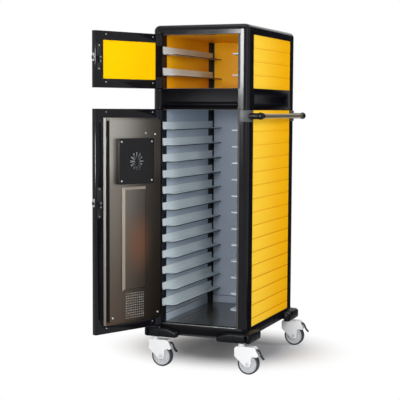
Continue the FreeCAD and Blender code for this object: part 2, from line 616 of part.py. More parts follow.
# ---------------------------------------------------------------- doors
def opened(shape):
    """Swing a piece drawn on the closed door to where the door stands open."""
    turned = shape.copy()
    turned.rotate(V(HINGE_X, HINGE_Y, 0), V(0, 0, 1), -DOOR_OPEN_DEG)
    return turned


def door_frame(z0, z1, latch_z, latch_length):
    """Door frame with a round hinge edge, window, pin bores, plate pockets and spindle bore."""
    slab = block(HINGE_X, DOOR_HALF_WIDTH, DOOR_OUTER_Y, DOOR_INNER_Y, z0, z1)
    free = edges_along(slab, V(0, 0, 1), lambda mid: mid.x > 0)
    slab = slab.makeFillet(DOOR_EDGE_RADIUS, free)
    nose = rod((HINGE_X, HINGE_Y, z0), (0, 0, 1), NOSE_RADIUS, z1 - z0)
    frame = join(slab, nose)
    window = block(-DOOR_HALF_WIDTH + DOOR_STILE, DOOR_HALF_WIDTH - DOOR_STILE, DOOR_OUTER_Y - 1, 1,
                   z0 + DOOR_RAIL, z1 - DOOR_RAIL)
    frame = frame.cut(window)
    bore = HINGE_PIN_RADIUS + RUNNING_CLEARANCE
    for z in (z0 - 1, z1 - HINGE_PIN_REACH - 1):
        frame = frame.cut(rod((HINGE_X, HINGE_Y, z), (0, 0, 1), bore, HINGE_PIN_REACH + 2))
    for plate in hinge_plates(z0, z1) + [latch_plate(latch_z, latch_length)]:
        frame = frame.cut(plate)
    return frame.cut(spindle_bore(latch_z))


def door_panel(z0, z1):
    return grooved_panel(-DOOR_HALF_WIDTH + DOOR_STILE, DOOR_HALF_WIDTH - DOOR_STILE,
                         PANEL_OUTER_Y, PANEL_FACE_Y,
                         z0 + DOOR_RAIL, z1 - DOOR_RAIL, "-y")


def hinge_plates(z0, z1):
    """Plates let into the door's inner face at its hinge corners."""
    plates = []
    for z in (z0 + HINGE_PLATE_MARGIN, z1 - HINGE_PLATE_MARGIN - HINGE_PLATE_HEIGHT):
        plates.append(block(HINGE_X, HINGE_X + HINGE_PLATE_WIDTH, DOOR_INNER_Y - HINGE_PLATE_THICKNESS,
                            DOOR_INNER_Y, z, z + HINGE_PLATE_HEIGHT))
    return plates


def screw(x, z, y):
    """Domed screw head standing on a face that looks inwards at depth y."""
    head = rod((x, y, z), (0, 1, 0), SCREW_RADIUS, SCREW_HEAD)
    crown = [edge for edge in head.Edges if all(abs(v.Y - y - SCREW_HEAD) < 1e-6 for v in edge.Vertexes)]
    return head.makeFillet(SCREW_HEAD * 0.6, crown[:1])


def latch_plate(z, length):
    """Latch plate let into the inner face of the free stile."""
    return block(LATCH_X - LATCH_PLATE_WIDTH / 2, LATCH_X + LATCH_PLATE_WIDTH / 2,
                 DOOR_INNER_Y - LATCH_PLATE_THICKNESS, DOOR_INNER_Y, z - length / 2, z + length / 2)


def spindle_bore(z):
    return rod((LATCH_X, DOOR_OUTER_Y - 1, z), (0, 1, 0), SPINDLE_RADIUS + RUNNING_CLEARANCE,
               DOOR_THICKNESS + 2)


def latch_cam(z):
    """Flat cam on the spindle's inner end, hanging down while the latch is open."""
    half = CAM_WIDTH / 2
    hub = rod((LATCH_X, CAM_SETBACK, z), (0, 1, 0), CAM_HUB_RADIUS, CAM_THICKNESS)
    arm = block(LATCH_X - half, LATCH_X + half, CAM_SETBACK, CAM_SETBACK + CAM_THICKNESS,
                z - CAM_LENGTH, z)
    arm = arm.makeFillet(CAM_ROUNDING, edges_along(arm, V(0, 1, 0), lambda mid: mid.z < z - 1))
    bore = rod((LATCH_X, CAM_SETBACK - 1, z), (0, 1, 0), SPINDLE_RADIUS, CAM_THICKNESS + 2)
    return join(hub, arm).cut(bore)


def latch_lever(z):
    """Turn lever outside the door: hub, grip pointing at the hinge, and spindle."""
    lever_y = DOOR_OUTER_Y - LEVER_STANDOFF
    hub = rod((LATCH_X, DOOR_OUTER_Y - LEVER_CLEARANCE, z), (0, -1, 0), LEVER_HUB_RADIUS,
              LEVER_STANDOFF - LEVER_CLEARANCE)
    grip = block(LATCH_X - LEVER_LENGTH, LATCH_X, lever_y, lever_y + LEVER_THICKNESS,
                 z - LEVER_WIDTH / 2, z + LEVER_WIDTH / 2)
    end = edges_along(grip, V(0, 1, 0), lambda mid: mid.x < LATCH_X - 1)
    grip = grip.makeFillet(LEVER_WIDTH / 2 - 0.2, end)
    spindle = rod((LATCH_X, lever_y, z), (0, 1, 0), SPINDLE_RADIUS, CAM_SETBACK + CAM_THICKNESS - lever_y)
    return join(hub, grip, spindle)


def face_plate(z):
    """Bright latch plate on the door's free edge."""
    return block(DOOR_HALF_WIDTH, DOOR_HALF_WIDTH + FACE_PLATE_THICKNESS, HINGE_Y - FACE_PLATE_WIDTH / 2,
                 HINGE_Y + FACE_PLATE_WIDTH / 2, z - FACE_PLATE_HEIGHT / 2, z + FACE_PLATE_HEIGHT / 2)


def stile_screws(z0, z1, latch_z, length):
    """Screw heads along the frame's corners, on the hinge plates and on the latch plate."""
    spots = []
    x = DOOR_HALF_WIDTH - DOOR_STILE - STILE_SCREW_INSET
    for z in (z0 + DOOR_RAIL / 2 + RAIL_SCREW_RISE, z1 - DOOR_RAIL / 2 + RAIL_SCREW_RISE):
        spots += [(x, z, DOOR_INNER_Y), (-x, z, DOOR_INNER_Y)]
    near = HINGE_PLATE_MARGIN + PLATE_SCREW_INSET
    far = HINGE_PLATE_MARGIN + HINGE_PLATE_HEIGHT - PLATE_SCREW_INSET
    for z in (z0 + near, z0 + far, z1 - far, z1 - near):
        spots.append((HINGE_X + HINGE_PLATE_WIDTH / 2, z, DOOR_INNER_Y))
    for offset in (LATCH_SCREW_INSET - length / 2, length / 2 - LATCH_SCREW_INSET):
        spots.append((LATCH_X, latch_z + offset, DOOR_INNER_Y))
    return spots


def make_door(prefix, z0, z1, latch_z, latch_length, extra_screws):
    add(prefix + "_door_frame", opened(door_frame(z0, z1, latch_z, latch_length)))
    add(prefix + "_door_panel", opened(door_panel(z0, z1)))
    add(prefix + "_door_hinge_plates", *[opened(plate) for plate in hinge_plates(z0, z1)])
    spots = stile_screws(z0, z1, latch_z, latch_length) + extra_screws
    add(prefix + "_door_screws", *[opened(screw(x, z, y)) for x, z, y in spots])
    inner_plate = latch_plate(latch_z, latch_length).cut(spindle_bore(latch_z))
    add(prefix + "_latch_plates", opened(inner_plate), opened(face_plate(latch_z)))
    add(prefix + "_latch_lever", opened(latch_lever(latch_z)))
    add(prefix + "_latch_cam", opened(latch_cam(latch_z)))


def gasket_ring(z0, z1):
    """Rubber seal on the cabinet's face around an opening."""
    side = HALF_OPENING + GASKET_SIDE_GAP
    outer = block(-side - GASKET_WIDTH, side + GASKET_WIDTH, -GASKET_THICKNESS, 0,
                  z0 - GASKET_LIP, z1 + GASKET_LIP)
    return outer.cut(block(-side, side, -GASKET_THICKNESS - 1, 1, z0, z1))


def make_hinges():
    """Hinge lugs on the cabinet's face with their pins, and the two door seals."""
    lugs = []
    width = HINGE_LUG_WIDTH
    levels = [UPPER_DOOR_TOP + HINGE_LUG_GAP, UPPER_DOOR_BOTTOM - HINGE_LUG_GAP - HINGE_LUG_THICKNESS,
              LOWER_DOOR_TOP + HINGE_LUG_GAP]
    for z in levels:
        plate = block(HINGE_X - width / 2, HINGE_X + width / 2, HINGE_Y, 0, z, z + HINGE_LUG_THICKNESS)
        nose = rod((HINGE_X, HINGE_Y, z), (0, 0, 1), width / 2, HINGE_LUG_THICKNESS)
        hole = rod((HINGE_X, HINGE_Y, z - 1), (0, 0, 1), HINGE_PIN_RADIUS, HINGE_LUG_THICKNESS + 2)
        lugs.append(join(plate, nose).cut(hole))
    stem = HINGE_LUG_THICKNESS + HINGE_LUG_GAP + HINGE_PIN_REACH - 2
    starts = [UPPER_DOOR_TOP - HINGE_PIN_REACH + 2, UPPER_DOOR_BOTTOM - HINGE_LUG_GAP - HINGE_LUG_THICKNESS,
              LOWER_DOOR_TOP - HINGE_PIN_REACH + 2, BUMPER_TOP - HINGE_PIN_REACH]
    lengths = [stem, stem, stem, HINGE_PIN_REACH * 2 + LOWER_DOOR_BOTTOM - BUMPER_TOP - 2]
    pins = [rod((HINGE_X, HINGE_Y, z), (0, 0, 1), HINGE_PIN_RADIUS, length)
            for z, length in zip(starts, lengths)]
    add("hinge_lugs_and_pins", *(lugs + pins))
    add("door_gaskets", gasket_ring(FLOOR_LEVEL, LOWER_OPENING_TOP),
        gasket_ring(UPPER_OPENING_BOTTOM, TOP_FRAME_BOTTOM))


# ---------------------------------------------------------------- heater on the lower door
def sheet_box(x, y0, y1, z0, z1):
    """Outside and hollow of a sheet-metal box that is open towards the door."""
    wall = CASSETTE_SHEET
    return block(-x, x, y0, y1, z0, z1), block(wall - x, x - wall, y0 - 1, y1 - wall, z0 + wall, z1 - wall)


def make_cassette():
    """Two-step sheet box with its fan hole and air inlet, and the duct cover on its face."""
    face, wall = CASSETTE_FACE, CASSETTE_SHEET
    step = DOOR_INNER_Y + CASSETTE_TRAY_DEPTH
    tray, tray_hollow = sheet_box(DOOR_HALF_WIDTH - DOOR_STILE, PANEL_FACE_Y, step,
                                  LOWER_DOOR_BOTTOM + DOOR_RAIL, LOWER_DOOR_TOP - DOOR_RAIL)
    box, box_hollow = sheet_box(CASSETTE_HALF_WIDTH, step - wall, face, CASSETTE_BOTTOM, CASSETTE_TOP)
    box = box.makeFillet(CASSETTE_EDGE, edges_along(box, V(0, 1, 0)))
    shell = join(tray, box).cut(tray_hollow).cut(box_hollow)
    holes = [rod((FAN_X, face - wall - 1, FAN_Z), (0, 1, 0), GRILLE_RADIUS, wall + 2)]
    for column in range(INLET_COLUMNS):
        for row in range(INLET_ROWS):
            holes.append(rod((INLET_LEFT + column * INLET_PITCH, face - wall - 1,
                              INLET_BOTTOM + row * INLET_PITCH), (0, 1, 0), INLET_HOLE_RADIUS, wall + 2))
    add("heater_cassette", opened(shell.cut(Part.makeCompound(holes))))

    duct = block(DUCT_LEFT, DUCT_RIGHT, face, face + DUCT_DEPTH, DUCT_BOTTOM, DUCT_TOP)
    rim = [edge for edge in duct.Edges if all(abs(v.Y - face - DUCT_DEPTH) < 1e-6 for v in edge.Vertexes)]
    duct = duct.makeChamfer(DUCT_BEVEL, rim)
    core = block(DUCT_LEFT + DUCT_BEVEL, DUCT_RIGHT - DUCT_BEVEL, face - 1, face + DUCT_DEPTH - wall,
                 DUCT_BOTTOM + DUCT_BEVEL, DUCT_TOP - DUCT_BEVEL)
    add("duct_cover", opened(duct.cut(core)))


def make_fan():
    """Fan cover with a radial grille, motor standing on the door panel, and impeller."""
    face = CASSETTE_FACE
    half = FAN_COVER_SIZE / 2
    front = face + FAN_COVER_DEPTH
    cover = block(FAN_X - half, FAN_X + half, face, front, FAN_Z - half, FAN_Z + half)
    cover = cover.makeFillet(FAN_COVER_CORNER, edges_along(cover, V(0, 1, 0)))
    rim = [edge for edge in cover.Edges if all(abs(v.Y - front) < 1e-6 for v in edge.Vertexes)]
    cover = cover.makeFillet(FAN_COVER_EDGE, rim)
    wall = FAN_COVER_WALL
    hollow = block(FAN_X - half + wall, FAN_X + half - wall, face - 1, front - wall,
                   FAN_Z - half + wall, FAN_Z + half - wall)
    hollow = hollow.makeFillet(FAN_COVER_CORNER - wall, edges_along(hollow, V(0, 1, 0)))
    cover = cover.cut(hollow)
    slots = []
    for index in range(GRILLE_SLOTS):
        inner, outer = FAN_X + GRILLE_HUB_RADIUS, FAN_X + GRILLE_RADIUS
        start = front - wall - 1
        narrow, broad = GRILLE_SLOT_INNER / 2, GRILLE_SLOT_OUTER / 2
        wedge = [V(inner, start, FAN_Z - narrow), V(outer, start, FAN_Z - broad),
                 V(outer, start, FAN_Z + broad), V(inner, start, FAN_Z + narrow)]
        slot = polygon_prism(wedge, V(0, wall + 2, 0))
        slot.rotate(V(FAN_X, 0, FAN_Z), V(0, 1, 0), 360.0 * index / GRILLE_SLOTS)
        slots.append(slot)
    add("fan_cover", opened(cover.cut(Part.makeCompound(slots))))

    back = PANEL_FACE_Y + MOTOR_FOOT_DEPTH
    motor = rod((FAN_X, back, FAN_Z), (0, 1, 0), MOTOR_RADIUS, MOTOR_DEPTH)
    foot = block(FAN_X - MOTOR_RADIUS - MOTOR_FOOT_REACH, FAN_X + MOTOR_RADIUS + MOTOR_FOOT_REACH,
                 PANEL_FACE_Y, back,
                 FAN_Z - MOTOR_FOOT_REACH, FAN_Z + MOTOR_FOOT_REACH)
    bore = rod((FAN_X, back + MOTOR_END, FAN_Z), (0, 1, 0), SHAFT_RADIUS + RUNNING_CLEARANCE, MOTOR_DEPTH)
    add("fan_motor", opened(join(motor, foot).cut(bore)))

    impeller_back = face + IMPELLER_GAP
    shaft_back = back + MOTOR_END + SHAFT_END_GAP
    shaft = rod((FAN_X, shaft_back, FAN_Z), (0, 1, 0), SHAFT_RADIUS,
                impeller_back + IMPELLER_DEPTH - shaft_back)
    hub = rod((FAN_X, impeller_back, FAN_Z), (0, 1, 0), IMPELLER_HUB_RADIUS, IMPELLER_DEPTH)
    plate = rod((FAN_X, impeller_back, FAN_Z), (0, 1, 0), IMPELLER_RADIUS, IMPELLER_BLADE)
    blades = []
    for index in range(IMPELLER_BLADES):
        blade = block(FAN_X + IMPELLER_HUB_RADIUS - IMPELLER_BLADE,
                      FAN_X + IMPELLER_RADIUS - IMPELLER_BLADE, impeller_back,
                      impeller_back + IMPELLER_DEPTH, FAN_Z - IMPELLER_BLADE / 2, FAN_Z + IMPELLER_BLADE / 2)
        blade.rotate(V(FAN_X + IMPELLER_HUB_RADIUS, 0, FAN_Z), V(0, 1, 0), BLADE_SWEEP_DEG)
        blade.rotate(V(FAN_X, 0, FAN_Z), V(0, 1, 0), 360.0 * index / IMPELLER_BLADES)
        blades.append(blade)
    add("fan_impeller", opened(join(shaft, hub, plate, *blades)))


def fan_screws():
    """Screws at the corners of the fan cover, and the fittings on the cassette's face."""
    reach = FAN_COVER_SIZE / 2 - FAN_SCREW_INSET
    corners = [(FAN_X + sx * reach, FAN_Z + sz * reach, CASSETTE_FACE + FAN_COVER_DEPTH)
               for sx in (-1, 1) for sz in (-1, 1)]
    return corners + [(x, z, CASSETTE_FACE) for x, z in FITTINGS]


def make_element():
    """Tubular heating element: straight runs joined by half-circle bends, tails at the top."""
    y = DOOR_INNER_Y + ELEMENT_DEPTH
    middle = (DUCT_LEFT + DUCT_RIGHT) / 2
    left = middle - ELEMENT_BEND * (ELEMENT_RUNS - 1)
    z0, z1 = DUCT_BOTTOM + ELEMENT_RISE, DUCT_TOP - ELEMENT_HEADROOM
    edges = []
    for run in range(ELEMENT_RUNS):
        x = left + 2 * ELEMENT_BEND * run
        ends = (z1, z0) if run % 2 == 0 else (z0, z1)
        edges.append(Part.LineSegment(V(x, y, ends[0]), V(x, y, ends[1])).toShape())
        if run < ELEMENT_RUNS - 1:
            sign = -1 if run % 2 == 0 else 1
            edges.append(Part.Arc(V(x, y, ends[1]), V(x + ELEMENT_BEND, y, ends[1] + sign * ELEMENT_BEND),
                                  V(x + 2 * ELEMENT_BEND, y, ends[1])).toShape())
    path = Part.Wire(edges)
    ring = Part.Wire(Part.makeCircle(ELEMENT_RADIUS, V(left, y, z1), V(0, 0, -1)))
    tube = path.makePipeShell([ring], True, True)
    clips = []
    right = left + 2 * ELEMENT_BEND * (ELEMENT_RUNS - 1)
    for z in (z0 + CLIP_INSET, z1 - CLIP_INSET):
        bar = block(left - CLIP_MARGIN, right + CLIP_MARGIN, PANEL_FACE_Y, y + ELEMENT_RADIUS + CLIP_COVER,
                    z - CLIP_HALF_HEIGHT, z + CLIP_HALF_HEIGHT)
        for run in range(ELEMENT_RUNS):
            bar = bar.cut(rod((left + 2 * ELEMENT_BEND * run, y, z - CLIP_HALF_HEIGHT - 1), (0, 0, 1),
                              ELEMENT_RADIUS, 2 * CLIP_HALF_HEIGHT + 2))
        clips.append(bar)
    add("heating_element", opened(tube), *[opened(clip) for clip in clips])


def make_inlet():
    """Mains inlet on the outside of the lower door: a round housing with three pins."""
    y = PANEL_OUTER_Y
    body = rod((0, y, INLET_SOCKET_Z), (0, -1, 0), INLET_SOCKET_RADIUS, INLET_SOCKET_DEPTH)
    body = body.cut(rod((0, y - INLET_SOCKET_FLOOR, INLET_SOCKET_Z), (0, -1, 0), INLET_SOCKET_BORE,
                        INLET_SOCKET_DEPTH))
    for turn in (90, 210, 330):
        x = INLET_PIN_CIRCLE * math.cos(math.radians(turn))
        z = INLET_SOCKET_Z + INLET_PIN_CIRCLE * math.sin(math.radians(turn))
        body = body.fuse(rod((x, y, z), (0, -1, 0), INLET_PIN_RADIUS, INLET_PIN_LENGTH))
    add("power_inlet", opened(body))


# ---------------------------------------------------------------- push handle
def make_handle():
    """Corner brackets, elbows and rod of the push handle on the right-hand side."""
    rod_x = HALF_WIDTH + HANDLE_STANDOFF
    rear_y = CABINET_DEPTH - HANDLE_REAR_SETBACK
    z0, z1 = HANDLE_Z - BRACKET_HEIGHT / 2, HANDLE_Z + BRACKET_HEIGHT / 2
    wrap = plan_prism(BRACKET_THICKNESS, z0, z1).cut(plan_prism(0, z0 - 1, z1 + 1))
    far = HALF_WIDTH + BRACKET_THICKNESS + 1
    front = wrap.common(block(HALF_WIDTH - BRACKET_FRONT_REACH, far, -BRACKET_THICKNESS - 1,
                              BRACKET_SIDE_REACH, z0, z1))
    rear = wrap.common(block(HALF_WIDTH - BRACKET_FRONT_REACH, far, CABINET_DEPTH - REAR_CHEEK_LENGTH,
                             CABINET_DEPTH + BRACKET_THICKNESS + 1, z0, z1))
    add("handle_brackets", front, rear)
    elbows = []
    for y, along in ((HANDLE_FRONT_Y, 1), (rear_y, -1)):
        arm = rod((HALF_WIDTH + BRACKET_THICKNESS, y, HANDLE_Z), (1, 0, 0), HANDLE_ARM_RADIUS,
                  HANDLE_STANDOFF - BRACKET_THICKNESS)
        ball = Part.makeSphere(HANDLE_BALL_RADIUS, V(rod_x, y, HANDLE_Z))
        socket = rod((rod_x, y, HANDLE_Z), (0, along, 0), HANDLE_ARM_RADIUS, HANDLE_SOCKET_LENGTH)
        bore = rod((rod_x, y, HANDLE_Z), (0, along, 0), HANDLE_ROD_RADIUS, HANDLE_SOCKET_LENGTH + 1)
        elbows.append(join(arm, ball, socket).cut(bore))
    add("handle_elbows", *elbows)
    add("handle_rod", rod((rod_x, HANDLE_FRONT_Y, HANDLE_Z), (0, 1, 0), HANDLE_ROD_RADIUS,
                          rear_y - HANDLE_FRONT_Y))


# ---------------------------------------------------------------- bumpers and castors
def castor_places():
    y0, y1 = CASTOR_INSET_Y, CABINET_DEPTH - CASTOR_INSET_Y
    return {"front_left": (-CASTOR_X, y0), "front_right": (CASTOR_X, y0),
            "rear_left": (-CASTOR_X, y1), "rear_right": (CASTOR_X, y1)}


def make_bumpers():
    """Moulded corner bumpers that wrap the base and the castor pads."""
    low = Part.Face(plan_wire(BUMPER_OFFSET, BUMPER_BOTTOM, BUMPER_RADIUS)).extrude(
        V(0, 0, BUMPER_EDGE - BUMPER_BOTTOM))
    slope = Part.makeLoft([plan_wire(BUMPER_OFFSET, BUMPER_EDGE, BUMPER_RADIUS),
                           plan_wire(BUMPER_TOP_GAP, BUMPER_TOP)], True, True)
    ring = low.fuse(slope).removeSplitter()
    ring = ring.cut(plan_prism(0, BASE_BOTTOM, BUMPER_TOP + 1))
    ring = ring.cut(plan_prism(PAD_OFFSET, BUMPER_BOTTOM - 1, BASE_BOTTOM))
    edge = HALF_WIDTH + BUMPER_OFFSET
    zone = block(HALF_WIDTH - BUMPER_LEG, edge + 1, -BUMPER_OFFSET - 1, BUMPER_LEG,
                 BUMPER_BOTTOM, BUMPER_TOP)
    corner = ring.common(zone)
    slot_x = HALF_WIDTH + BUMPER_SLOT_X
    corner = corner.cut(block(slot_x - BUMPER_SLOT_WIDTH / 2, slot_x + BUMPER_SLOT_WIDTH / 2,
                              -BUMPER_OFFSET - 1, -PAD_OFFSET + 1, BUMPER_BOTTOM - 1,
                              BUMPER_BOTTOM + BUMPER_SLOT_HEIGHT))
    groove_x = HALF_WIDTH + BUMPER_GROOVE_X
    corner = corner.cut(block(groove_x, groove_x + BUMPER_GROOVE_WIDTH, -BUMPER_OFFSET - 1,
                              -BUMPER_OFFSET + BUMPER_GROOVE_DEPTH, BUMPER_BOTTOM - 1, BUMPER_GROOVE_TOP))
    bumpers = four_corners(corner)
    pin_hole = rod((HINGE_X, HINGE_Y, BUMPER_TOP - HINGE_PIN_REACH), (0, 0, 1), HINGE_PIN_RADIUS,
                   HINGE_PIN_REACH + 1)
    boss = block(HINGE_X - HINGE_LUG_WIDTH / 2, HINGE_X + HINGE_LUG_WIDTH / 2,
                 HINGE_Y - HINGE_BOSS_DEPTH, 0, BUMPER_TOP - HINGE_BOSS_HEIGHT, BUMPER_TOP)
    bumpers["front_left"] = join(bumpers["front_left"], boss).cut(pin_hole)
    add("corner_bumpers", *bumpers.values())


def rounded_outline(corners, y):
    """Closed face in the plane at y, from (x, z, radius) corners joined by tangent arcs."""
    count = len(corners)
    places = [V(x, y, z) for x, z, _ in corners]
    edges, ends = [], []
    for index, (_, _, radius) in enumerate(corners):
        here = places[index]
        back = (places[index - 1] - here).normalize()
        onward = (places[(index + 1) % count] - here).normalize()
        half = back.getAngle(onward) / 2
        reach = radius / math.tan(half)
        middle = (back + onward).normalize() * (radius / math.sin(half))
        start, end = here + back * reach, here + onward * reach
        crest = here + middle - V(middle).normalize() * radius
        ends.append((start, end))
        edges.append(Part.Arc(start, crest, end).toShape())
    for index in range(count):
        edges.append(Part.LineSegment(ends[index][1], ends[(index + 1) % count][0]).toShape())
    return Part.Face(Part.Wire(Part.__sortEdges__(edges)))


def castor_fork():
    """Hood with both cheeks, swivel head and stem, pedal notch, axle and pedal pin."""
    outline = [(x, WHEEL_Z + z, radius) for x, z, radius in HOOD_CORNERS]
    hood = rounded_outline(outline, -FORK_HALF_WIDTH).extrude(V(0, 2 * FORK_HALF_WIDTH, 0))
    rims = [edge for edge in hood.Edges
            if all(abs(abs(v.Y) - FORK_HALF_WIDTH) < 1e-6 for v in edge.Vertexes)
            and abs(edge.Vertexes[0].Y - edge.Vertexes[-1].Y) < 1e-6]
    hood = hood.makeFillet(HOOD_EDGE, rims)
    head_bottom = FORK_TOP - HEAD_OVERLAP
    head = rod((-CASTOR_TRAIL, 0, head_bottom), (0, 0, 1), HEAD_RADIUS,
               CHASSIS_BOTTOM - CASTOR_CLEARANCE - head_bottom)
    stem = rod((-CASTOR_TRAIL, 0, head_bottom), (0, 0, 1), STEM_RADIUS,
               BASE_BOTTOM - STEM_RECESS - head_bottom)
    hood = join(hood, head, stem)
    space = rod((0, -FORK_SLOT_HALF_WIDTH, WHEEL_Z), (0, 1, 0), WHEEL_RADIUS + HOOD_CLEARANCE,
                2 * FORK_SLOT_HALF_WIDTH)
    below = block(-WHEEL_RADIUS - HOOD_CLEARANCE, WHEEL_RADIUS + HOOD_CLEARANCE,
                  -FORK_SLOT_HALF_WIDTH, FORK_SLOT_HALF_WIDTH, 0, WHEEL_Z)
    notch_half = PEDAL_ARM_HALF_WIDTH + NOTCH_MARGIN / 2
    notch = block(PEDAL_X - PEDAL_BARREL_RADIUS - NOTCH_MARGIN, 2 * WHEEL_RADIUS, -notch_half, notch_half,
                  NOTCH_BOTTOM, FORK_TOP + 1)
    hood = hood.cut(space).cut(below).cut(notch)
    axle_half, pin_half = FORK_HALF_WIDTH + AXLE_END, FORK_HALF_WIDTH - PEDAL_PIN_INSET
    axle = rod((0, -axle_half, WHEEL_Z), (0, 1, 0), AXLE_RADIUS, 2 * axle_half)
    pin = rod((PEDAL_X, -pin_half, PEDAL_Z), (0, 1, 0), PEDAL_PIN_RADIUS, 2 * pin_half)
    return hood.cut(axle).cut(pin), axle, pin


def castor_wheel():
    """Wheel disc with hub, recessed web and rim, and the bore for its axle."""
    points = [V(r, y, 0) for r, y in WHEEL_PROFILE] + [V(r, -y, 0) for r, y in reversed(WHEEL_PROFILE)]
    face = Part.Face(Part.makePolygon(points + points[:1]))
    disc = face.revolve(V(0, 0, 0), V(0, 1, 0), 360)
    disc.translate(V(0, 0, WHEEL_Z))
    return disc


def castor_tyre():
    rim, half = WHEEL_RADIUS - TYRE_THICKNESS, WHEEL_WIDTH / 2
    outer = rod((0, -half, 0), (0, 1, 0), WHEEL_RADIUS, WHEEL_WIDTH)
    outer = outer.makeFillet(TYRE_EDGE_RADIUS, [edge for edge in outer.Edges
                                                    if isinstance(edge.Curve, Part.Circle)])
    ring = outer.cut(rod((0, -half - 1, 0), (0, 1, 0), rim, WHEEL_WIDTH + 2))
    ring.translate(V(0, 0, WHEEL_Z))
    return ring


def castor_pedal():
    """Brake pedal: barrel on its pin, arm in the hood's notch and a wider foot plate."""
    narrow, wide = PEDAL_ARM_HALF_WIDTH, PEDAL_PADDLE_HALF_WIDTH
    barrel = rod((PEDAL_X, -narrow, PEDAL_Z), (0, 1, 0), PEDAL_BARREL_RADIUS, 2 * narrow)
    arm = polygon_prism([V(PEDAL_X + x, -narrow, PEDAL_Z + z) for x, z in PEDAL_ARM_CORNERS],
                        V(0, 2 * narrow, 0))
    paddle = polygon_prism([V(PEDAL_X + x, -wide, PEDAL_Z + z) for x, z in PEDAL_PADDLE_CORNERS],
                           V(0, 2 * wide, 0))
    bore = rod((PEDAL_X, -narrow - 1, PEDAL_Z), (0, 1, 0), PEDAL_PIN_RADIUS + RUNNING_CLEARANCE,
               2 * narrow + 2)
    return join(barrel, arm, paddle).cut(bore)


def make_castors():
    pieces = {"fork": castor_fork(), "wheel": (castor_wheel(),), "tyre": (castor_tyre(),),
              "pedal": (castor_pedal(),)}
    for place, (x, y) in castor_places().items():
        for kind, solids in pieces.items():
            moved = [solid.copy() for solid in solids]
            for solid in moved:
                solid.translate(V(x + CASTOR_TRAIL, y, 0))
            add("castor_%s_%s" % (kind, place), *moved)


# ---------------------------------------------------------------- build
make_posts()
make_strikes()
make_top()
make_base()
make_middle()
make_walls()
make_rails()
make_hinges()
make_cassette()
make_door("upper", UPPER_DOOR_BOTTOM, UPPER_DOOR_TOP, UPPER_LATCH_Z, UPPER_LATCH_LENGTH, [])
make_door("lower", LOWER_DOOR_BOTTOM, LOWER_DOOR_TOP, LOWER_LATCH_Z, LOWER_LATCH_LENGTH,
          fan_screws())
make_fan()
make_element()
make_inlet()
make_handle()
make_bumpers()
make_castors()

whole = Part.makeCompound([solid for solids in nodes.values() for solid in solids])
extent = whole.BoundBox
SHIFT = V(-(extent.XMin + extent.XMax) / 2, -(extent.YMin + extent.YMax) / 2, 0)

os.makedirs("parts", exist_ok=True)
for name, solids in nodes.items():
    moved = [solid.copy() for solid in solids]
    for solid in moved:
        solid.translate(SHIFT)
    shape = moved[0] if len(moved) == 1 else Part.makeCompound(moved)
    shape.exportStep("parts/%s.step" % name)
    print("%-28s %3d solids  valid %s" % (name, len(shape.Solids), shape.isValid()))
print(len(nodes), "nodes, shift", SHIFT)
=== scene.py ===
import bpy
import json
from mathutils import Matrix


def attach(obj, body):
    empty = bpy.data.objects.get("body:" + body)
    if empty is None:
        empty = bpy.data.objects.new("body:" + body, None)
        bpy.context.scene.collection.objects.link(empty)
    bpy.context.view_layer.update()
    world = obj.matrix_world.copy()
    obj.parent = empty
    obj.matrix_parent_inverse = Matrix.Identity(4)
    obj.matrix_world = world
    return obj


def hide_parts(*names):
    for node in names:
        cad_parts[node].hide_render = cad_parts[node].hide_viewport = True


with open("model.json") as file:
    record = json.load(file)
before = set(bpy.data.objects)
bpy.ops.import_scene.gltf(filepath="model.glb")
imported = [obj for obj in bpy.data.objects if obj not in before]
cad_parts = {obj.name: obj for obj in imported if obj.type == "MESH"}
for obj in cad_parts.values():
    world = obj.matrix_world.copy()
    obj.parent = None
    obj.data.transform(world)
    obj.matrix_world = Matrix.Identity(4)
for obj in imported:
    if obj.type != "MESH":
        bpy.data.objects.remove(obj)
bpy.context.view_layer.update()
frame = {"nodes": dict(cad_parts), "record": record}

import json
import math

import bmesh
import bpy
from mathutils import Matrix, Vector

# ---- sizes shared with the solids, metres
SHIFT = Vector((0.022672, -0.184517, 0.0))
HINGE = Vector((-0.190, -0.015, 0.0))
DOOR_OPEN = math.radians(115.0)
CABINET_PLACE = Matrix.Translation(SHIFT)
DOOR_SWING = (Matrix.Translation(SHIFT + HINGE) @ Matrix.Rotation(-DOOR_OPEN, 4, "Z")
              @ Matrix.Translation(-HINGE))
FACING_IN = Matrix.Rotation(math.radians(-90.0), 4, "X")      # a piece's own +Z turned to the door's inside
HALF_WIDTH, DEPTH = 0.2375, 0.712
HALF_OPENING, FRONT_POST, BACK_FACE, WALL_FACE = 0.189, 0.048, 0.650, 0.190
FLOOR_LEVEL, LIP_FRONT = 0.205, 0.002
CORNER, BUMPER_GAP, BUMPER_OUT, BUMPER_ROUND, BUMPER_LEG = 0.035, 0.0005, 0.028, 0.014, 0.140
BUMPER_LOW, BUMPER_TOP, BUMPER_END_TOP, SIDE_END_TOP = 0.143, 0.194, 0.179, 0.189
END_ROUND, SLOT_TOP, GROOVE_FROM, GROOVE_DEEP = 0.014, 0.179, -0.054, 0.003
LOWER_RAIL_LOWEST, LOWER_RAIL_PITCH, LOWER_RAIL_COUNT = 0.284, 0.0758, 12
UPPER_RAIL_LOWEST, UPPER_RAIL_PITCH, UPPER_RAIL_COUNT = 1.369, 0.098, 2
RAIL_FRONT, RAIL_BACK, RAIL_CORNER, FLANGE_X, LEDGE_EDGE = 0.042, 0.645, 0.030, 0.186, 0.137
CATCH_LOW, CATCH_HIGH = (0.2325, 0.583, 1.257), (0.2352, 0.599, 1.266)

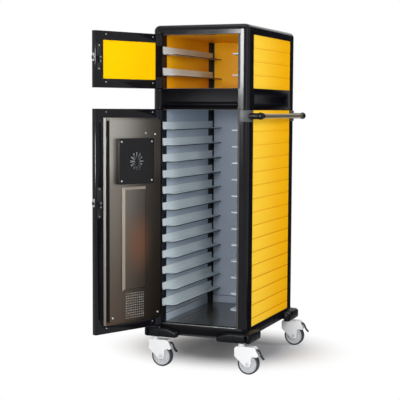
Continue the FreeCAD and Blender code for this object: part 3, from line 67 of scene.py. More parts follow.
DOOR_INNER, DOOR_MIDDLE, DOOR_EDGE = -0.0025, -0.015, 0.198
DOOR_STILE, DOOR_RAIL = 0.045, 0.040
SCREW_INSET, SCREW_RISE = 0.017, 0.005
HINGE_SCREW_X, HINGE_SCREW_NEAR, HINGE_SCREW_FAR = -0.1725, 0.014, 0.042
LATCH_X, LATCH_SCREW_INSET, LATCH_PLATE_WIDTH, LATCH_PLATE_THICK = 0.175, 0.009, 0.024, 0.002
CAM_FACE, CAM_SCREW_DROP = 0.008, 0.019      # inner face of the latch cams, and their second screw
DOORS = {"upper": {"low": 1.306, "high": 1.556, "latch": 1.440, "plate": 0.120},
         "lower": {"low": 0.201, "high": 1.213, "latch": 0.795, "plate": 0.140}}

CASSETTE_FACE, TRAY_STEP, BOX_HALF, WINDOW_HALF = 0.0375, 0.0155, 0.149, 0.153
BOX_LOW, BOX_HIGH, TRAY_LOW, TRAY_HIGH = 0.255, 1.165, 0.241, 1.173
FAN_X, FAN_Z, FAN_COVER_HALF, FAN_COVER_DEPTH, FAN_SCREW_INSET = 0.010, 0.979, 0.1025, 0.022, 0.015
FITTINGS = ((-0.060, 1.104), (-0.116, 1.099), (-0.132, 0.276), (0.132, 0.276))
INLET_LEFT, INLET_BOTTOM, INLET_PITCH, INLET_COLUMNS, INLET_ROWS = -0.045, 0.268, 0.011, 10, 11
INLET_HOLE = 0.0025
DUCT_LEFT, DUCT_RIGHT, DUCT_LOW, DUCT_HIGH = -0.057, 0.081, 0.395, 0.862
DUCT_DEPTH, DUCT_BEVEL = 0.013, 0.010
DUCT_MIDDLE = (DUCT_LEFT + DUCT_RIGHT) / 2

CASTOR_X, CASTOR_Y, CASTOR_TRAIL, WHEEL_RADIUS = 0.216, 0.001, 0.036, 0.050
PEDAL_X, PEDAL_Z = 0.036, 0.112
CASTORS = {"front_left": (-CASTOR_X, CASTOR_Y), "front_right": (CASTOR_X, CASTOR_Y),
           "rear_left": (-CASTOR_X, DEPTH - CASTOR_Y), "rear_right": (CASTOR_X, DEPTH - CASTOR_Y)}

# planks of the yellow cladding: their height, one seam of each compartment, and where the two part
PLANK_PITCH, LOWER_SEAM, UPPER_SEAM, PARTING = 0.062, 1.1725, 1.4935, 1.26

# ---- camera
CAMERA_PLACE = Vector((1.93399, -4.78086, 1.21136)) + SHIFT
CAMERA_YAW, CAMERA_PITCH, CAMERA_ROLL = math.radians(21.955), math.radians(4.62), math.radians(0.308)
PHOTO_FOCAL, PHOTO_WIDTH, SENSOR = 1119.04, 400.0, 36.0


def add_object(name, data):
    """A new object in the scene."""
    made = bpy.data.objects.new(name, data)
    bpy.context.scene.collection.objects.link(made)
    return made


def set_camera():
    """The camera that was fitted to the cabinet's edges in the photograph."""
    ahead = Vector((-math.sin(CAMERA_YAW) * math.cos(CAMERA_PITCH),
                    math.cos(CAMERA_YAW) * math.cos(CAMERA_PITCH), -math.sin(CAMERA_PITCH)))
    level = Vector((math.cos(CAMERA_YAW), math.sin(CAMERA_YAW), 0.0))
    above = level.cross(ahead)
    right = level * math.cos(CAMERA_ROLL) + above * math.sin(CAMERA_ROLL)
    upward = above * math.cos(CAMERA_ROLL) - level * math.sin(CAMERA_ROLL)
    lens = bpy.data.cameras.new("photo_camera")
    lens.sensor_width, lens.lens = SENSOR, SENSOR * PHOTO_FOCAL / PHOTO_WIDTH
    camera = add_object("photo_camera", lens)
    camera.matrix_world = Matrix.Translation(CAMERA_PLACE) @ Matrix(
        (right, upward, -ahead)).transposed().to_4x4()
    bpy.context.scene.camera = camera


# ---- node kit
class Reading:
    """One output of a node.  An expression on readings adds its Math nodes."""

    def __init__(self, tree, node, output=0):
        self.tree, self.node = tree, node
        self.socket = node.outputs[output] if node.outputs else None

    def __getitem__(self, output):
        return Reading(self.tree, self.node, output)

    def math(self, operation, *values):
        return add_node(self.tree, "ShaderNodeMath", {"operation": operation}, dict(enumerate(values)))

    def __add__(self, other):
        return self.math("ADD", self, other)

    def __sub__(self, other):
        return self.math("SUBTRACT", self, other)

    def __rsub__(self, other):
        return self.math("SUBTRACT", other, self)

    def __mul__(self, other):
        return self.math("MULTIPLY", self, other)

    def __truediv__(self, other):
        return self.math("DIVIDE", self, other)

    __radd__, __rmul__ = __add__, __mul__

    def fraction(self):
        return self.math("FRACT", self)

    def least(self, other):
        return self.math("MINIMUM", self, other)

    def rise(self, low, high):
        """0 below low, 1 above high, smooth between."""
        return add_node(self.tree, "ShaderNodeMapRange", {"interpolation_type": "SMOOTHSTEP"},
                        {"Value": self, "From Min": low, "From Max": high})


def add_node(tree, kind, settings=None, inputs=None):
    """Adds one node: its settings first, then the values or links of its sockets."""
    node = tree.nodes.new(kind)
    for name, value in (settings or {}).items():
        setattr(node, name, value)
    for name, value in (inputs or {}).items():
        if isinstance(value, Reading):
            tree.links.new(value.socket, node.inputs[name])
        else:
            node.inputs[name].default_value = value
    return Reading(tree, node)


def tint(red, green, blue):
    """A colour given as the screen shows it, 0 to 255, made linear."""
    return tuple(((c / 255 + 0.055) / 1.055) ** 2.4 if c > 10 else c / 255 / 12.92
                 for c in (red, green, blue))


class Finish:
    """One material: its surface shader and the patterns that vary it."""

    def __init__(self, name, **constants):
        self.material = bpy.data.materials.new(name)
        self.material.use_nodes = True
        self.tree = self.material.node_tree
        self.surface = self.tree.nodes["Principled BSDF"]
        for socket, value in constants.items():
            self.surface.inputs[socket.replace("_", " ")].default_value = value
        self.place = add_node(self.tree, "ShaderNodeTexCoord")["Object"]
        split = add_node(self.tree, "ShaderNodeSeparateXYZ", inputs={0: self.place})
        self.x, self.y, self.z = split["X"], split["Y"], split["Z"]

    def noise(self, size, detail=2.0, stretch=(1.0, 1.0, 1.0)):
        """Noise with blobs of a size in metres, drawn out along the axes by stretch."""
        point = self.place
        if stretch != (1.0, 1.0, 1.0):
            point = add_node(self.tree, "ShaderNodeMapping", {"vector_type": "TEXTURE"},
                             {"Vector": point, "Scale": stretch})
        return add_node(self.tree, "ShaderNodeTexNoise", inputs={"Vector": point, "Scale": 1.0 / size,
                                                                 "Detail": detail})

    def reach(self, centre, stretch=(1.0, 1.0, 1.0)):
        """Distance from a centre in metres, with the axes drawn out by stretch."""
        point = add_node(self.tree, "ShaderNodeMapping", {"vector_type": "TEXTURE"},
                         {"Vector": self.place, "Location": centre, "Scale": stretch})
        return add_node(self.tree, "ShaderNodeVectorMath", {"operation": "LENGTH"}, {0: point})["Value"]

    def mix(self, factor, first, second):
        """A colour between two, each a tint or a reading."""
        first, second = (value if isinstance(value, Reading) else (*value, 1.0) for value in (first, second))
        return add_node(self.tree, "ShaderNodeMix", {"data_type": "RGBA"}, {0: factor, 6: first, 7: second})[2]

    def colour(self, reading):
        self.tree.links.new(reading.socket, self.surface.inputs["Base Color"])

    def roughness(self, reading):
        self.tree.links.new(reading.socket, self.surface.inputs["Roughness"])

    def relief(self, height, depth):
        """Bump from a reading of 0 to 1 that stands for a depth in metres."""
        bump = add_node(self.tree, "ShaderNodeBump", inputs={"Height": height, "Distance": depth,
                                                              "Strength": 1.0})
        self.tree.links.new(bump.socket, self.surface.inputs["Normal"])


# ---- finishes
# where on the cart, in metres, painted sheen and shade begin and end, and where the heat tint sits
PANEL_SHEEN_FADES, SEAM_SHADE_FADES = (-0.14, 0.40), (0.35, 1.15)
AT_BACK_WALL, BACK_SHADE_DEEPENS = (0.435, 0.463), (0.02, 0.20)
FREE_TO_HINGE, FOOT_TO_TOP, UNDER_FAN = (-0.54, -0.28), (0.1, 1.15), (0.86, 0.98)
TRIM_BRIGHTENS = (0.2, 1.15)
HEAT_CENTRE = DOOR_SWING @ Vector((DUCT_MIDDLE - 0.022, CASSETTE_FACE, 0.605))
HEAT_STRETCH, HEAT_REACH = (1.0, 1.0, 1.7), 0.11


def moulded_plastic(name, dark, light, rough, grain=0.0008, depth=0.00002, gloss=0.3):
    """Grained moulded plastic, slightly uneven in colour and gloss."""
    made = Finish(name, Specular_IOR_Level=gloss)
    cloud = made.noise(0.12, 3.0)
    made.colour(made.mix(cloud, tint(*dark), tint(*light)))
    made.roughness(cloud * 0.12 + (rough - 0.06))
    if depth:
        made.relief(made.noise(grain, 1.0), depth)
    return made.material


def plank_yellow(name):
    """Yellow cladding with a painted sheen, palest at its front, whose planks swell between seams painted a
    deeper orange as shade.
    """
    made = Finish(name, Specular_IOR_Level=0.0)
    seam = made.z.rise(PARTING - 0.002, PARTING + 0.002) * (UPPER_SEAM - LOWER_SEAM) + LOWER_SEAM
    # 40 planks are added, so that the fraction is taken of a number above zero
    across = ((made.z - seam) / PLANK_PITCH + 40.0).fraction()
    from_seam = across.least(1.0 - across) * PLANK_PITCH
    in_seam = 1.0 - from_seam.rise(0.0012, 0.0030)
    # painted sheen: paler yellow at the panel's front, deeper towards its back, with a little random tone
    along = made.y.rise(*PANEL_SHEEN_FADES) * 0.85 + made.noise(0.4, 2.0) * 0.15
    wall = made.mix(along, tint(252, 210, 66), tint(244, 176, 8))
    # painted shade in the seams, strongest low down and fading upwards
    depth = in_seam * (1.0 - made.z.rise(*SEAM_SHADE_FADES) * 0.65) * 0.8
    made.colour(made.mix(depth, wall, tint(206, 112, 4)))
    made.roughness(made.noise(0.05, 3.0) * 0.1 + 0.3)
    made.relief(from_seam.rise(0.0015, 0.016), 0.0012)
    return made.material


def flat_yellow(name, dark, light):
    """Yellow sheet with the slight waviness of pressed plastic."""
    made = Finish(name, Specular_IOR_Level=0.02)
    made.colour(made.mix(made.noise(0.3, 2.0), tint(*dark), tint(*light)))
    made.roughness(made.noise(0.05, 3.0) * 0.1 + 0.3)
    made.relief(made.noise(0.08, 1.0), 0.0008)
    return made.material


def grey_with_painted_shade(name, side, back, corner):
    """Pale grey lining whose back wall is painted a deeper grey than its sides as shade, deepest at its right.
    """
    made = Finish(name, Specular_IOR_Level=0.3)
    wall = made.mix(made.x.rise(*BACK_SHADE_DEEPENS), tint(*back), tint(*corner))
    at_back = made.y.rise(*AT_BACK_WALL) * 0.9 + made.noise(0.12, 3.0) * 0.1
    made.colour(made.mix(at_back, tint(*side), wall))
    made.roughness(made.noise(0.05, 3.0) * 0.1 + 0.25)
    made.relief(made.noise(0.002, 1.0), 0.00002)
    return made.material


def brushed_stainless(name, light, dark, lowest, heated, rough):
    """Stainless brushed along its height, painted darker towards the hinge and the floor as shade, brown where
    heated.
    """
    made = Finish(name, Metallic=1.0)
    streak = made.noise(0.0012, 2.0, (1.0, 1.0, 60.0))
    cloud = made.noise(0.2, 2.0)
    hinge_shade_share = made.y.rise(*FREE_TO_HINGE) * 0.84 + streak * 0.08 + cloud * 0.08
    foot = made.mix(hinge_shade_share, tint(*lowest), tuple(c * 0.17 for c in tint(*lowest)))
    height = made.z.rise(*FOOT_TO_TOP) * 0.55 + made.z.rise(*UNDER_FAN) * 0.45
    sheet = made.mix(height, foot, made.mix(hinge_shade_share, tint(*light), tint(*dark)))
    glow = 1.0 - made.reach(HEAT_CENTRE, HEAT_STRETCH).rise(0.0, HEAT_REACH)
    made.colour(made.mix(glow * 0.5, sheet, tint(*heated)))
    made.roughness(streak * 0.14 + made.noise(0.03, 2.0) * 0.08 + rough)
    made.relief(streak, 0.00003)
    return made.material


def bright_metal(name, colour, rough):
    """Smooth metal with a faint smear in its colour and gloss."""
    made = Finish(name, Metallic=1.0)
    smear = made.noise(0.01, 3.0)
    made.colour(made.mix(smear, tuple(c * 0.8 for c in tint(*colour)), tint(*colour)))
    made.roughness(smear * 0.12 + rough)
    return made.material


def satin_trim(name, low, high, gloss):
    """Pale satin edging, painted duller towards the floor as shade."""
    made = Finish(name, Specular_IOR_Level=gloss)
    share = made.z.rise(*TRIM_BRIGHTENS) * 0.9 + made.noise(0.02, 2.0) * 0.1
    made.colour(made.mix(share, tint(*low), tint(*high)))
    made.roughness(made.noise(0.01, 2.0) * 0.1 + 0.35)
    return made.material


def soft_rubber(name, dark, light, rough):
    """Fine-grained rubber."""
    made = Finish(name, Specular_IOR_Level=0.3)
    cloud = made.noise(0.03, 3.0)
    made.colour(made.mix(cloud, tint(*dark), tint(*light)))
    made.roughness(cloud * 0.15 + (rough - 0.07))
    made.relief(made.noise(0.0006, 2.0), 0.00008)
    return made.material


# darker and lighter colour as the screen shows them, roughness, and what differs from the defaults
PLASTICS = {
    "frame_black": ((11, 11, 15), (17, 17, 22), 0.13, {"depth": 0.0, "gloss": 0.16}),
    "roof_black": ((20, 20, 23), (28, 28, 31), 0.6, {"grain": 0.0015, "depth": 0.00012, "gloss": 0.02}),
    "base_black": ((9, 9, 12), (15, 15, 19), 0.3, {"gloss": 0.04}),
    "chassis_black": ((18, 18, 20), (26, 26, 28), 0.45, {"grain": 0.002}),
    "floor_grey": ((66, 65, 60), (84, 82, 77), 0.16, {"depth": 0.0, "gloss": 0.9}),
    "foam": ((225, 205, 150), (238, 222, 175), 0.8, {"grain": 0.003}),
    "liner_yellow": ((252, 182, 20), (255, 196, 26), 0.32, {"grain": 0.002, "gloss": 0.1}),
    "rail_grey": ((224, 235, 239), (234, 242, 245), 0.36, {"grain": 0.002}),
    # dark strip along the ledges' free edges: painted shade
    "rail_edge_shading": ((34, 40, 46), (46, 53, 60), 0.4, {"gloss": 0.2}),
    "upright_black": ((12, 12, 14), (20, 20, 23), 0.45, {"gloss": 0.15}),
    "fan_black": ((10, 10, 12), (17, 17, 20), 0.3, {"gloss": 0.2}),
    "handle_black": ((12, 12, 14), (20, 20, 23), 0.2, {"depth": 0.0, "gloss": 0.12}),
    "hinge_black": ((14, 14, 16), (24, 24, 27), 0.4, {"gloss": 0.05}),
    "bumper_black": ((9, 10, 12), (16, 17, 20), 0.36, {"gloss": 0.08}),
    "castor_white": ((232, 233, 234), (241, 242, 242), 0.32, {"grain": 0.002, "gloss": 0.2}),
    "wheel_grey": ((196, 198, 201), (210, 212, 214), 0.35, {"grain": 0.002, "gloss": 0.2}),
    "pedal_black": ((32, 35, 40), (44, 47, 53), 0.4, {}),
    "latch_black": ((14, 14, 16), (24, 24, 27), 0.35, {}),
    "bracket_grey": ((58, 59, 62), (92, 93, 96), 0.5, {"grain": 0.003, "depth": 0.0001, "gloss": 0.2}),
    "rail_black": ((4, 4, 7), (9, 9, 14), 0.34, {"gloss": 0.02}),
    # dark louvres and strip on the cassette's side as painted shade; also the dark seam over the floor upstand
    "shade_and_seam_black": ((14, 13, 12), (24, 22, 20), 0.5, {"gloss": 0.1}),
    "blade_grey": ((172, 174, 178), (196, 199, 204), 0.3, {"grain": 0.002}),
}
# colour and roughness
METALS = {
    "steel": ((215, 215, 212), 0.24), "worn_zinc": ((150, 150, 148), 0.4), "zinc": ((58, 60, 66), 0.4),
    "chrome": ((176, 177, 180), 0.2), "motor_grey": ((150, 150, 152), 0.45),
    # the handle rod's warm tint is painted reflection of the yellow cladding
    "element_steel": ((120, 108, 98), 0.4), "handle_rod": ((206, 196, 166), 0.36),
}
FINISHES = {name: moulded_plastic(name, dark, light, rough, **others)
            for name, (dark, light, rough, others) in PLASTICS.items()}
FINISHES.update((name, bright_metal(name, *metal)) for name, metal in METALS.items())
FINISHES.update((name, maker(name, *looks)) for name, maker, *looks in (
    ("panel_yellow", plank_yellow),
    ("door_yellow", flat_yellow, (246, 190, 4), (251, 196, 5)),
    # the liner's side colour, then the back wall's painted shade and its darkest corner
    ("liner_grey", grey_with_painted_shade, (196, 208, 222), (150, 160, 175), (104, 113, 127)),
    # stainless: its free edge, then the hinge side and foot painted darker as shade, the heat tint, and
    # roughness
    ("stainless", brushed_stainless, (168, 165, 158), (66, 60, 56), (84, 71, 60), (142, 92, 64), 0.26),
    # pale strip on the cassette's tray edge: painted highlight of that bright edge
    ("edge_trim", satin_trim, (142, 134, 124), (222, 222, 218), 0.3),
    # pale strips on the duct cover's bevels: painted highlight
    ("duct_edge", satin_trim, (128, 118, 104), (166, 156, 146), 0.02),
    ("seal_black", soft_rubber, (12, 12, 13), (19, 19, 21), 0.6),
    ("tyre_grey", soft_rubber, (34, 37, 43), (47, 50, 58), 0.5)))
# solids that don't take the finish named after their material slot
OWN_FINISH = {"upper_door_panel": "door_yellow", "lower_door_panel": "door_yellow",
              "upper_latch_cam": "zinc", "lower_latch_cam": "zinc",
              "handle_brackets": "bracket_grey", "mid_rails": "rail_black"}

SLOTS = {row["node"]: row["material_slot"] for row in frame["record"]["subparts"]}
BODY_OF = {node: body for body, group in frame["record"]["behaviour"]["bodies"].items() for node in group}


def finish_of(node):
    """Name of a solid's finish."""
    return OWN_FINISH.get(node, SLOTS[node])


def dress_solids():
    """Gives every carried-over solid its finish."""
    for name, solid in frame["nodes"].items():
        solid.data.materials.clear()
        solid.data.materials.append(FINISHES[finish_of(name)])


# ---- making pieces
def place_piece(name, mesh, place, body, finish, slot, *replaced):
    """Moves a drawn mesh to its place and makes it a piece of the cart that rides on a body."""
    mesh.transform(place)
    mesh.materials.clear()
    mesh.materials.append(FINISHES[finish])
    piece = add_object(name, mesh)
    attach(piece, body)
    if replaced:
        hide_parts(*replaced)
    return piece


def place_blocks(name, blocks, place, body, finish, slot, *replaced):
    """A piece made of boxes, each given by its low corner, its high corner and its bevel."""
    form = bmesh.new()
    for low, high, bevel in blocks:
        add_block(form, low, high, bevel)
    place_piece(name, mesh_of(name, form), place, body, finish, slot, *replaced)


def mesh_of(name, form, smooth_under=35.0):
    """A bmesh made a mesh, its faces pointing out and shaded smooth but for sharp edges."""
    bmesh.ops.recalc_face_normals(form, faces=form.faces)
    mesh = bpy.data.meshes.new(name)
    form.to_mesh(mesh)
    form.free()
    mesh.shade_smooth()
    mesh.set_sharp_from_angle(angle=math.radians(smooth_under))
    return mesh


def solid_form(node):
    """A solid's mesh as a bmesh, welded, with no edges left inside its flat faces."""
    form = bmesh.new()
    form.from_mesh(frame["nodes"][node].data)
    bmesh.ops.remove_doubles(form, verts=form.verts, dist=2e-6)
    bmesh.ops.dissolve_limit(form, angle_limit=math.radians(0.6), verts=form.verts, edges=form.edges)
    return form


def stand_in(node, name, form):
    """Makes a worked-over copy of a solid the piece that stands in for it."""
    return place_piece(name, mesh_of(name, form, 40.0), Matrix.Identity(4), BODY_OF[node],
                       finish_of(node), SLOTS[node], node)


def rolled_edges(node, width):
    """A copy of a solid whose sharp edges are rolled over by a width."""
    form = solid_form(node)
    edges = [edge for edge in form.edges
             if edge.is_manifold and abs(edge.calc_face_angle_signed()) > math.radians(28.0)]
    roll(form, edges, width)
    stand_in(node, node + "_rolled", form)


def polished_copy(node):
    """A copy of a solid whose flat faces stay flat and whose rounds shade evenly."""
    piece = stand_in(node, node + "_polished", solid_form(node))
    piece.modifiers.new("even_shading", "WEIGHTED_NORMAL").keep_sharp = True


def roll(form, edges, width):
    """Rolls edges of a bmesh over by a width."""
    bmesh.ops.bevel(form, geom=edges, offset=width, segments=2, profile=0.5, affect="EDGES",
                    clamp_overlap=True)


def add_block(form, low, high, bevel):
    """A box from its low to its high corner with rolled edges, added to a bmesh."""
    size = [b - a for a, b in zip(low, high)]
    middle = [(a + b) / 2 for a, b in zip(low, high)]
    made = bmesh.ops.create_cube(form, size=1.0, matrix=Matrix.Translation(middle)
                                 @ Matrix.Diagonal((*size, 1.0)))
    roll(form, list({edge for vert in made["verts"] for edge in vert.link_edges}), bevel)


def turned_rings(form, profile, place, steps):
    """Rings of points about a place's own Z, one for each radius and height of a profile."""
    return [[form.verts.new(place @ Vector((radius * math.cos(2 * math.pi * i / steps),
                                            radius * math.sin(2 * math.pi * i / steps), height)))
             for i in range(steps)] for radius, height in profile]


def bridge(form, rings):
    """Faces between each closed ring of points and the next, added to a bmesh."""
    for first, second in zip(rings, rings[1:]):
        for i in range(len(first)):
            j = (i + 1) % len(first)
            form.faces.new((first[i], first[j], second[j], second[i]))


def add_turned(form, profile, place, steps=24):
    """A closed shape turned about its own Z from a profile of radius and height, added to a bmesh."""
    rings = turned_rings(form, profile, place, steps)
    bridge(form, rings)
    form.faces.new(rings[0][::-1])
    form.faces.new(rings[-1])


class Growth:
    """A Geometry Nodes tree with named sizes that grows a pattern on given spots."""

    def __init__(self, name, **sizes):
        self.name, self.sizes = name, sizes
        self.tree = bpy.data.node_groups.new(name, "GeometryNodeTree")
        sockets = self.tree.interface
        sockets.new_socket("Spots", in_out="INPUT", socket_type="NodeSocketGeometry")
        self.handles = {}
        for label, value in sizes.items():
            kind = "NodeSocketInt" if isinstance(value, int) else "NodeSocketFloat"
            self.handles[label] = sockets.new_socket(label.replace("_", " "), in_out="INPUT",
                                                     socket_type=kind).identifier
        sockets.new_socket("Pattern", in_out="OUTPUT", socket_type="NodeSocketGeometry")
        self.given = self.node("NodeGroupInput")
        self.spots = self.given["Spots"]

    def node(self, kind, settings=None, **inputs):
        return add_node(self.tree, kind, settings,
                        {key.replace("_", " "): value for key, value in inputs.items()})

    def size(self, label):
        return self.given[label.replace("_", " ")]

    def joined(self, *parts):
        join = self.tree.nodes.new("GeometryNodeJoinGeometry")
        for part in parts:
            self.tree.links.new(part.socket, join.inputs[0])
        return Reading(self.tree, join)

    def moved(self, part, x=0.0, z=0.0):
        shift = self.node("ShaderNodeCombineXYZ", X=x, Z=z)
        return self.node("GeometryNodeTransform", Geometry=part, Translation=shift)

    def sown(self, seed, scatter=math.pi):
        """The seed on every spot, each turned about Z by its own angle, up to scatter."""
        spin = add_node(self.tree, "FunctionNodeRandomValue", {"data_type": "FLOAT"}, {"Min": 0.0})
        spin.node.inputs[3].default_value, spin.node.inputs["Seed"].default_value = scatter, 7
        turn = self.node("ShaderNodeCombineXYZ", Z=spin[1])
        return self.node("GeometryNodeInstanceOnPoints", Points=self.spots, Instance=seed, Rotation=turn)

    def grown(self, pattern, spots, finish):
        """The finished pattern as a plain mesh."""
        real = self.node("GeometryNodeRealizeInstances", Geometry=pattern)
        merged = self.node("GeometryNodeMergeByDistance", Geometry=real, Distance=0.000001)
        shown = self.node("GeometryNodeSetMaterial", Geometry=merged, Material=FINISHES[finish])
        add_node(self.tree, "NodeGroupOutput", inputs={"Pattern": shown})
        ground = bpy.data.meshes.new(self.name + "_spots")
        ground.from_pydata(spots, [], [])
        carrier = add_object(self.name + "_carrier", ground)
        modifier = carrier.modifiers.new(self.name, "NODES")
        modifier.node_group = self.tree
        for label, value in self.sizes.items():
            modifier[self.handles[label]] = value
        finished = carrier.evaluated_get(bpy.context.evaluated_depsgraph_get())
        mesh = bpy.data.meshes.new_from_object(finished)
        carrier.modifiers.remove(modifier)
        bpy.data.objects.remove(carrier)
        form = bmesh.new()
        form.from_mesh(mesh)
        return mesh_of(self.name, form)


# ---- screws
def screw_heads(name, spots, radius, finish):
    """Low domed heads with a socket recess, standing on their spots and looking along +Z."""
    grow = Growth(name, Radius=radius, Height=0.0020, Recess=radius * 0.46, Sides=18)
    sides, radius, height, recess = (grow.size(label) for label in ("Sides", "Radius", "Height", "Recess"))
    skirt, dome, well = (
        grow.node("GeometryNodeMeshCone", {"fill_type": fill}, Vertices=sides, Radius_Top=top,
                  Radius_Bottom=bottom, Depth=depth)
        for fill, top, bottom, depth in (("NONE", radius * 0.86, radius, height * 0.6),
                                         ("NONE", recess, radius * 0.86, height * 0.4),
                                         ("NGON", recess, recess * 0.85, height * 0.55)))
    lid = grow.node("GeometryNodeMeshCircle", {"fill_type": "NGON"}, Vertices=sides, Radius=radius)
    head = grow.joined(lid, skirt["Mesh"], grow.moved(dome["Mesh"], z=height * 0.6),
                       grow.moved(open_top(grow, well), z=height * 0.45))
    return grow.grown(grow.sown(head), spots, finish)


def open_top(grow, cone):
    """The cone without its top face."""
    return grow.node("GeometryNodeDeleteGeometry", {"domain": "FACE", "mode": "ONLY_FACE"},
                     Geometry=cone["Mesh"], Selection=cone["Top"])


def frame_screw_spots(door):
    """Places of the screws at one door's corners and on its latch plate, on the closed door."""
    x = DOOR_EDGE - DOOR_STILE - SCREW_INSET
    spots = [(side * x, edge + SCREW_RISE) for side in (-1, 1)
             for edge in (door["low"] + DOOR_RAIL / 2, door["high"] - DOOR_RAIL / 2)]
    reach = door["plate"] / 2 - LATCH_SCREW_INSET
    spots += [(LATCH_X, door["latch"] + sign * reach) for sign in (-1, 1)]
    return [(x, DOOR_INNER, z) for x, z in spots]


def hinge_screw_spots(door):
    return [(HINGE_SCREW_X, DOOR_INNER, height) for height in
            (door["low"] + HINGE_SCREW_NEAR, door["low"] + HINGE_SCREW_FAR,
             door["high"] - HINGE_SCREW_FAR, door["high"] - HINGE_SCREW_NEAR)]


def as_seen_from_inside(spots):
    """Spots of the closed door in the frame where its inside looks along +Z."""
    return [FACING_IN.inverted() @ Vector(spot) for spot in spots]


def make_screws():
    reach = FAN_COVER_HALF - FAN_SCREW_INSET
    fan = [(FAN_X + sx * reach, CASSETTE_FACE + FAN_COVER_DEPTH, FAN_Z + sz * reach)
           for sx in (-1, 1) for sz in (-1, 1)]
    fan += [(x, CASSETTE_FACE, z) for x, z in FITTINGS]
    groups = [("lower_door", "cassette_screw_heads", fan, 0.0043, "steel")]
    for name, door in DOORS.items():
        body = name + "_door"
        cam = [(LATCH_X, CAM_FACE, door["latch"] - drop) for drop in (0.0, CAM_SCREW_DROP)]
        groups += [(body, body + "_screw_heads", frame_screw_spots(door), 0.0035, "worn_zinc"),
                   (body, name + "_hinge_screw_heads", hinge_screw_spots(door), 0.0038, "hinge_black"),
                   (name + "_latch", name + "_cam_screw_heads", cam, 0.0032, "worn_zinc")]
    for body, name, spots, radius, finish in groups:
        mesh = screw_heads(name, as_seen_from_inside(spots), radius, finish)
        place_piece(name, mesh, DOOR_SWING @ FACING_IN, body, finish, "steel",
                    *([body + "_screws"] if body.endswith("door") else []))


# ---- latches
def make_latches():
    """Black latch plate inside, and the bright plate with its bolt on the door's free edge."""
    half, thick, depth, rivet_inset = 0.018, 0.0015, 0.007, 0.005
    rivet = ((0.0030, 0.0), (0.0030, 0.0003), (0.0022, 0.0007), (0.0016, 0.0004))
    bolt_half, bolt_under, bolt_over, bolt_out = 0.004, 0.009, 0.006, 0.0075
    for name, door in DOORS.items():
        body, node, height, reach = name + "_door", name + "_latch_plates", door["latch"], door["plate"] / 2
        plate = ((LATCH_X - LATCH_PLATE_WIDTH / 2, DOOR_INNER - LATCH_PLATE_THICK, height - reach),
                 (LATCH_X + LATCH_PLATE_WIDTH / 2, DOOR_INNER, height + reach), 0.0006)
        place_blocks(name + "_latch_plate", [plate], DOOR_SWING, body, "latch_black", "latch_black", node)
        bright = bmesh.new()
        add_block(bright, (DOOR_EDGE, DOOR_MIDDLE - depth, height - half),
                  (DOOR_EDGE + thick, DOOR_MIDDLE + depth, height + half), 0.0005)
        for side in (-1, 1):
            spot = Matrix.Translation((DOOR_EDGE + thick, DOOR_MIDDLE, height + side * (half - rivet_inset)))
            add_turned(bright, rivet, spot @ Matrix.Rotation(math.radians(90.0), 4, "Y"), 16)
        place_piece(name + "_latch_face", mesh_of("face", bright), DOOR_SWING, body, "chrome", "chrome", node)
        bolt = ((DOOR_EDGE, DOOR_MIDDLE - bolt_half, height - bolt_under),
                (DOOR_EDGE + bolt_out, DOOR_MIDDLE + bolt_half, height + bolt_over), 0.0012)
        place_blocks(name + "_latch_bolt", [bolt], DOOR_SWING, body, "latch_black", "latch_black")


# ---- heater cassette
def make_inlet_rims():
    """Rolled rims round the holes of the air inlet."""
    grow = Growth("inlet_rims", Hole=INLET_HOLE, Roll=0.0005, Sides=14)
    ring = grow.node("GeometryNodeCurvePrimitiveCircle", {"mode": "RADIUS"}, Resolution=grow.size("Sides"),
                     Radius=grow.size("Hole") + grow.size("Roll"))
    bead = grow.node("GeometryNodeCurvePrimitiveCircle", {"mode": "RADIUS"}, Resolution=6,
                     Radius=grow.size("Roll"))
    rim = grow.node("GeometryNodeCurveToMesh", Curve=ring, Profile_Curve=bead)
    spots = as_seen_from_inside([(INLET_LEFT + column * INLET_PITCH, CASSETTE_FACE,
                                  INLET_BOTTOM + row * INLET_PITCH)
                                 for column in range(INLET_COLUMNS) for row in range(INLET_ROWS)])
    mesh = grow.grown(grow.sown(rim, 0.0), spots, "worn_zinc")
    place_piece("air_inlet_rims", mesh, DOOR_SWING @ FACING_IN, "lower_door", "worn_zinc", "steel")


def make_duct_highlights():
    """Pale sheet painted on the upper and free sloping sides of the duct cover as their highlight."""
    lift, skin = 0.00008, 0.0003
    loops = []
    for out, up in ((0.0, DUCT_DEPTH - DUCT_BEVEL), (DUCT_BEVEL, DUCT_DEPTH)):
        for rise in (lift, lift + skin):
            y = CASSETTE_FACE + up + rise
            left, right = DUCT_LEFT + out - rise, DUCT_RIGHT - out + rise
            low, high = DUCT_LOW + out - rise, DUCT_HIGH - out + rise
            loops.append([Vector((left, y, low)), Vector((right, y, low)), Vector((right, y, high)),
                          Vector((left, y, high))])
    form = bmesh.new()
    rings = [[form.verts.new(point) for point in loops[i]] for i in (0, 1, 3, 2)]
    # corners 1 to 2 are the free side and 2 to 3 the top; 1 and 3 are the strip's ends
    for first, second in zip(rings, rings[1:] + rings[:1]):
        for i, j in ((1, 2), (2, 3)):
            form.faces.new((first[i], first[j], second[j], second[i]))
    for corner in (1, 3):
        form.faces.new([ring[corner] for ring in rings])
    place_piece("duct_highlights", mesh_of("duct_highlights", form), DOOR_SWING, "lower_door", "duct_edge", "stainless")


